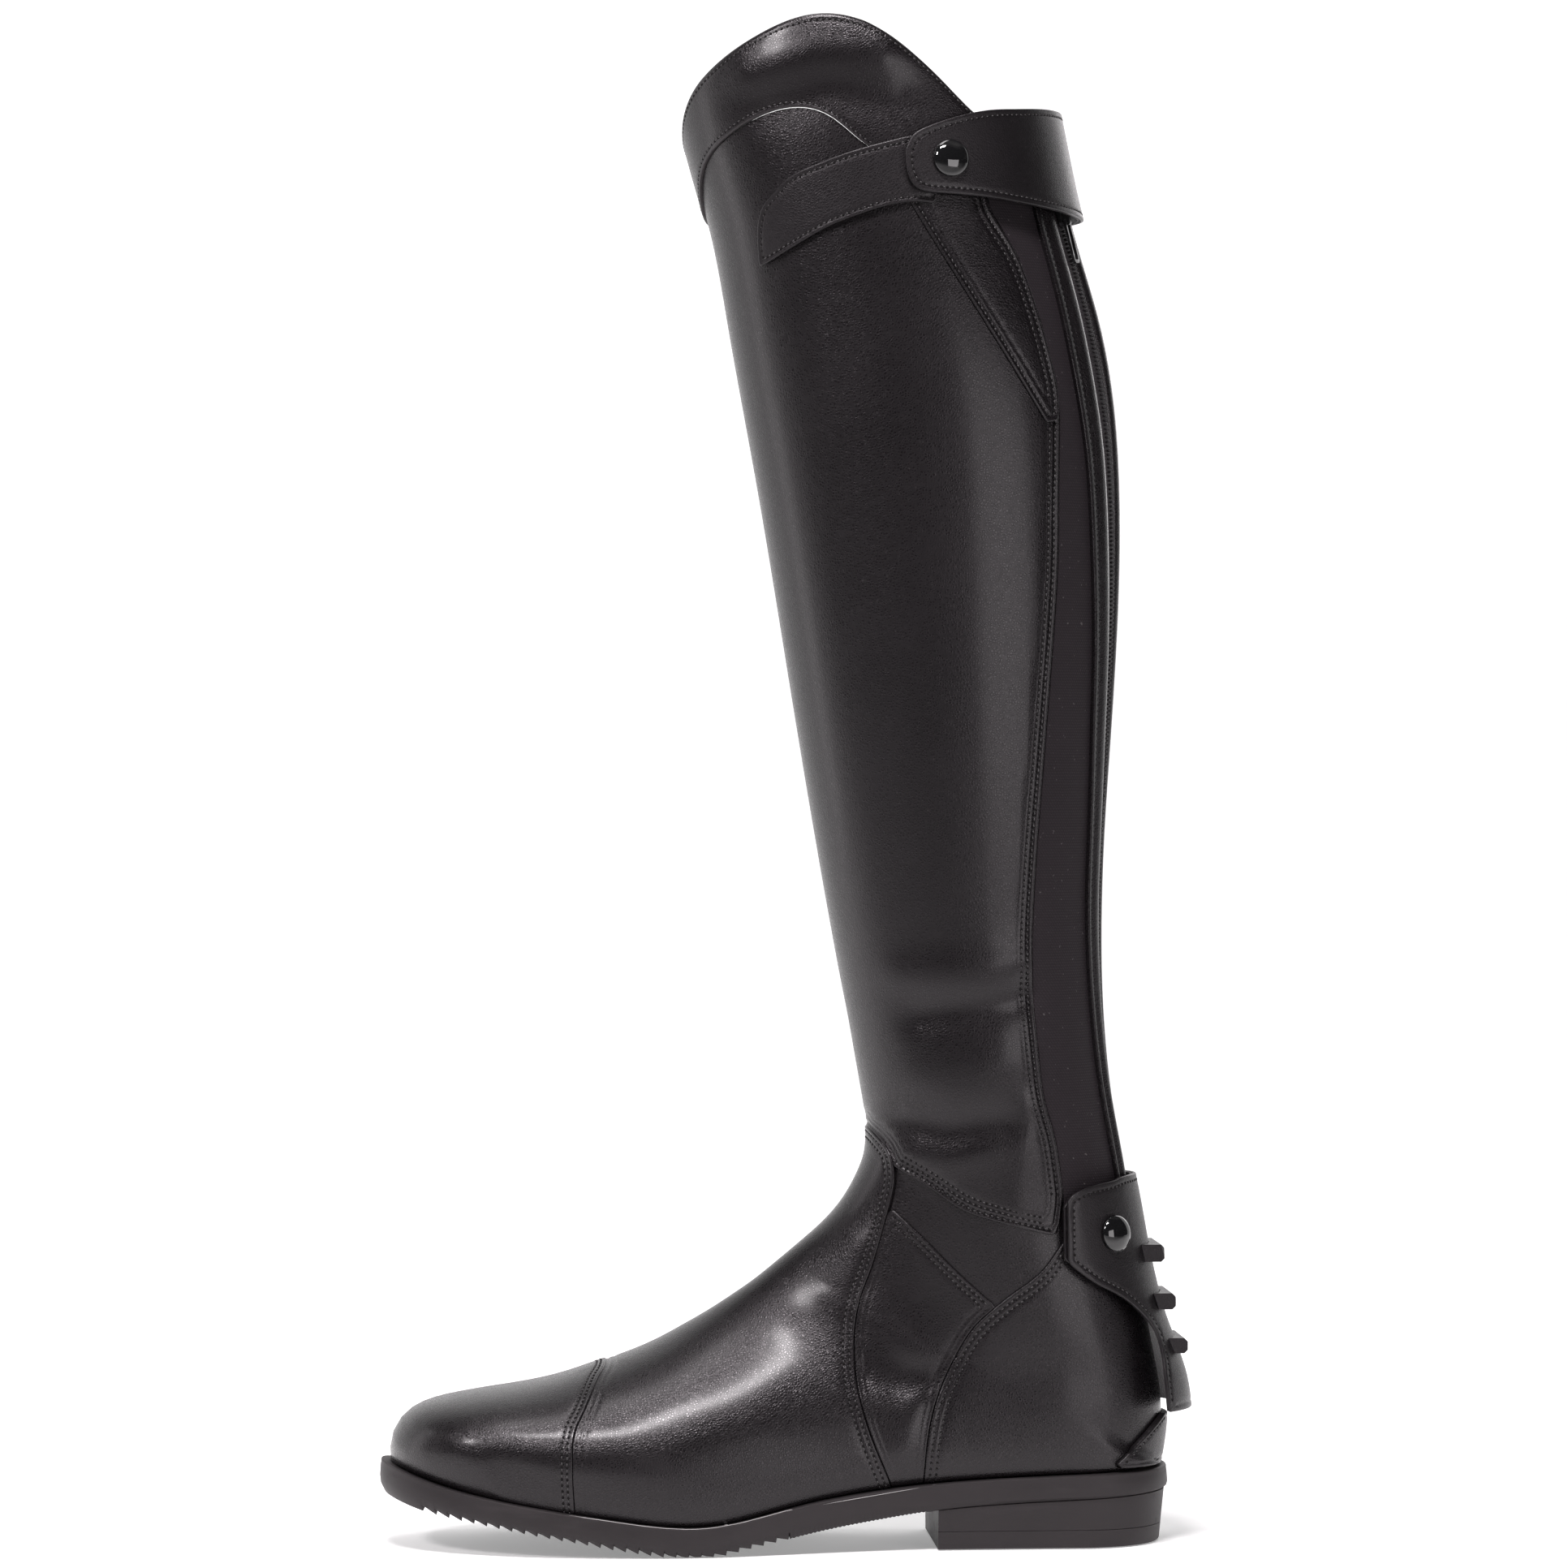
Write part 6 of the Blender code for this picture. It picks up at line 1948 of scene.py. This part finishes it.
@dataclass
class Studio:
    """Plain pale floor and backdrop, soft window light, and the camera at the photo's place."""

    target: Triple = (-0.092, 0.0, 0.264)
    away: float = 2.0
    yaw: float = -3.0
    sensor: float = 36.0
    per_pixel: float = 275 / 969 / 1000
    pixels: int = 1932
    lamp_colour: Triple = (1.0, 0.96, 0.975)
    room_colour: tuple[float, ...] = (1.0, 0.96, 0.98, 1.0)
    room_strength: float = 0.035
    backdrop_strength: float = 0.8
    half_width: float = 7.0
    floor_front: float = -4.0
    wall_foot: float = 1.6
    wall_bend: float = 0.8
    wall_top: float = 4.0
    floor_drop: float = 0.0004
    lamps: tuple[Lamp, ...] = (
        Lamp("high_window", (-0.22, -0.72, 1.42), (-0.12, 0.0, 0.08), (0.5, 0.16), 20.0),
        Lamp("left_window", (-1.05, -0.92, 1.12), (-0.09, 0.0, 0.25), (0.28, 0.3), 12.0),
        Lamp("left_strip", (-1.3, 0.25, 0.35), (-0.1, 0.0, 0.25), (0.3, 1.0), 2.0),
        Lamp("side_window", (0.78, -1.3, 0.2), (-0.05, 0.0, 0.24), (0.9, 0.8), 7.5),
        Lamp("overhead", (-0.25, 0.1, 1.7), (-0.09, 0.0, 0.2), (0.9, 0.4), 6.0),
        Lamp("back_strip", (0.55, 1.0, 0.8), (0.0, 0.0, 0.25), (0.6, 1.0), 2.5),
    )

    def build(self) -> None:
        """Makes the stage, the lights, the room and the camera."""
        self.stage()
        for lamp in self.lamps:
            self.light(lamp)
        self.room()
        self.camera()
        view = bpy.context.scene.view_settings
        view.view_transform, view.look, view.exposure = "Standard", "None", 0.0

    def room(self) -> None:
        """Light from all round: dim in the leather, pale where the camera looks past the floor."""
        world = bpy.data.worlds.new("soft_room")
        bpy.context.scene.world = world
        world.use_nodes = True
        shade, tree = world.node_tree.nodes["Background"], world.node_tree
        shade.inputs["Color"].default_value = self.room_colour
        seen, tone = tree.nodes.new("ShaderNodeLightPath"), tree.nodes.new("ShaderNodeMapRange")
        tone.inputs["To Min"].default_value = self.room_strength
        tone.inputs["To Max"].default_value = self.backdrop_strength
        tree.links.new(seen.outputs["Is Camera Ray"], tone.inputs["Value"])
        tree.links.new(tone.outputs["Result"], shade.inputs["Strength"])

    def stage(self) -> None:
        """The floor, which rises behind into a backdrop."""
        g = Graph("pale_paper")
        tone = g.mix(g.noise(6.0, 2.0), (0.86, 0.86, 0.86), (0.9, 0.9, 0.9))
        depth = g.wire(g.node("ShaderNodeSeparateXYZ", {}, Vector=g.place()), "Y") * 0.5 + 0.5
        tone = g.mix(g.ramp(depth, ((0.28, 0.0), (0.42, 1.0))), (0.4,) * 3, tone)
        glow = g.mix(g.ramp(depth, ((0.36, 0.0), (0.62, 1.0))), (0.05,) * 3, (1.0,) * 3)
        paper = g.shade(
            Base_Color=tone, Roughness=0.85, Emission_Color=glow, Emission_Strength=0.55
        )
        foot, bend = self.wall_foot, self.wall_bend
        bends = [(self.floor_front, 0.0), (foot, 0.0)]
        for turn in np.linspace(0.1, math.pi / 2, 12):
            bends.append((foot + bend * math.sin(turn), bend - bend * math.cos(turn)))
        bends.append((foot + bend, self.wall_top))
        edges = (-self.half_width, self.half_width)
        points = [(x, y, z - self.floor_drop) for y, z in bends for x in edges]
        faces = [(2 * k, 2 * k + 1, 2 * k + 3, 2 * k + 2) for k in range(len(bends) - 1)]
        mesh = bpy.data.meshes.new("sweep")
        mesh.from_pydata(points, [], faces)
        mesh.shade_smooth()
        mesh.materials.append(paper)
        sweep = bpy.data.objects.new("sweep", mesh)
        bpy.context.scene.collection.objects.link(sweep)

    def light(self, lamp: Lamp) -> None:
        """Hangs one light."""
        data = bpy.data.lights.new(lamp.name, "AREA")
        data.shape, data.energy, data.color = "RECTANGLE", lamp.power, self.lamp_colour
        data.size, data.size_y = lamp.size
        made = bpy.data.objects.new(lamp.name, data)
        made.location = lamp.place
        facing = Vector(lamp.aim) - Vector(lamp.place)
        made.rotation_euler = facing.to_track_quat("-Z", "Y").to_euler()
        bpy.context.scene.collection.objects.link(made)

    def camera(self) -> None:
        """A level camera on the photo's axis."""
        data = bpy.data.cameras.new("camera")
        data.sensor_width = data.sensor_height = self.sensor
        data.lens = self.sensor * self.away / (self.pixels * self.per_pixel)
        camera = bpy.data.objects.new("camera", data)
        turn = math.radians(self.yaw)
        back = Vector((math.sin(turn), -math.cos(turn), 0.0))
        camera.location = Vector(self.target) + back * self.away
        camera.rotation_euler = (-back).to_track_quat("-Z", "Y").to_euler()
        bpy.context.scene.collection.objects.link(camera)
        bpy.context.scene.camera = camera


def main() -> None:
    """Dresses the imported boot."""
    logging.basicConfig(level=logging.INFO, format="%(name)s %(message)s")
    for old in list(bpy.data.objects):
        bpy.data.objects.remove(old)
    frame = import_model()
    nodes = frame["nodes"]
    Studio().build()
    shop = Workshop()
    Shaft().build(shop)
    Foot().build(shop)
    Zip().build(shop)
    Straps().build(shop)
    Hardware().build(shop, nodes)
    Sole().build(shop, nodes)
    for number in (1, 2, 3):
        dress(nodes[f"spur_rest_{number}"], shop.strap_leather)
    sewn = (shop.rows, shop.threads, STITCH)
    beads("seam_thread", *sewn, THREAD_SIZE, shop.thread, Slot.LEATHER)
    # Near-black beads at half pitch between the thread beads paint the shade of the needle holes.
    beads("needle_holes", *sewn, PAINTED_HOLE_SHADE_SIZE, shop.painted_hole_shade, Slot.LEATHER, STITCH / 2)


if __name__ == "__main__":
    main()
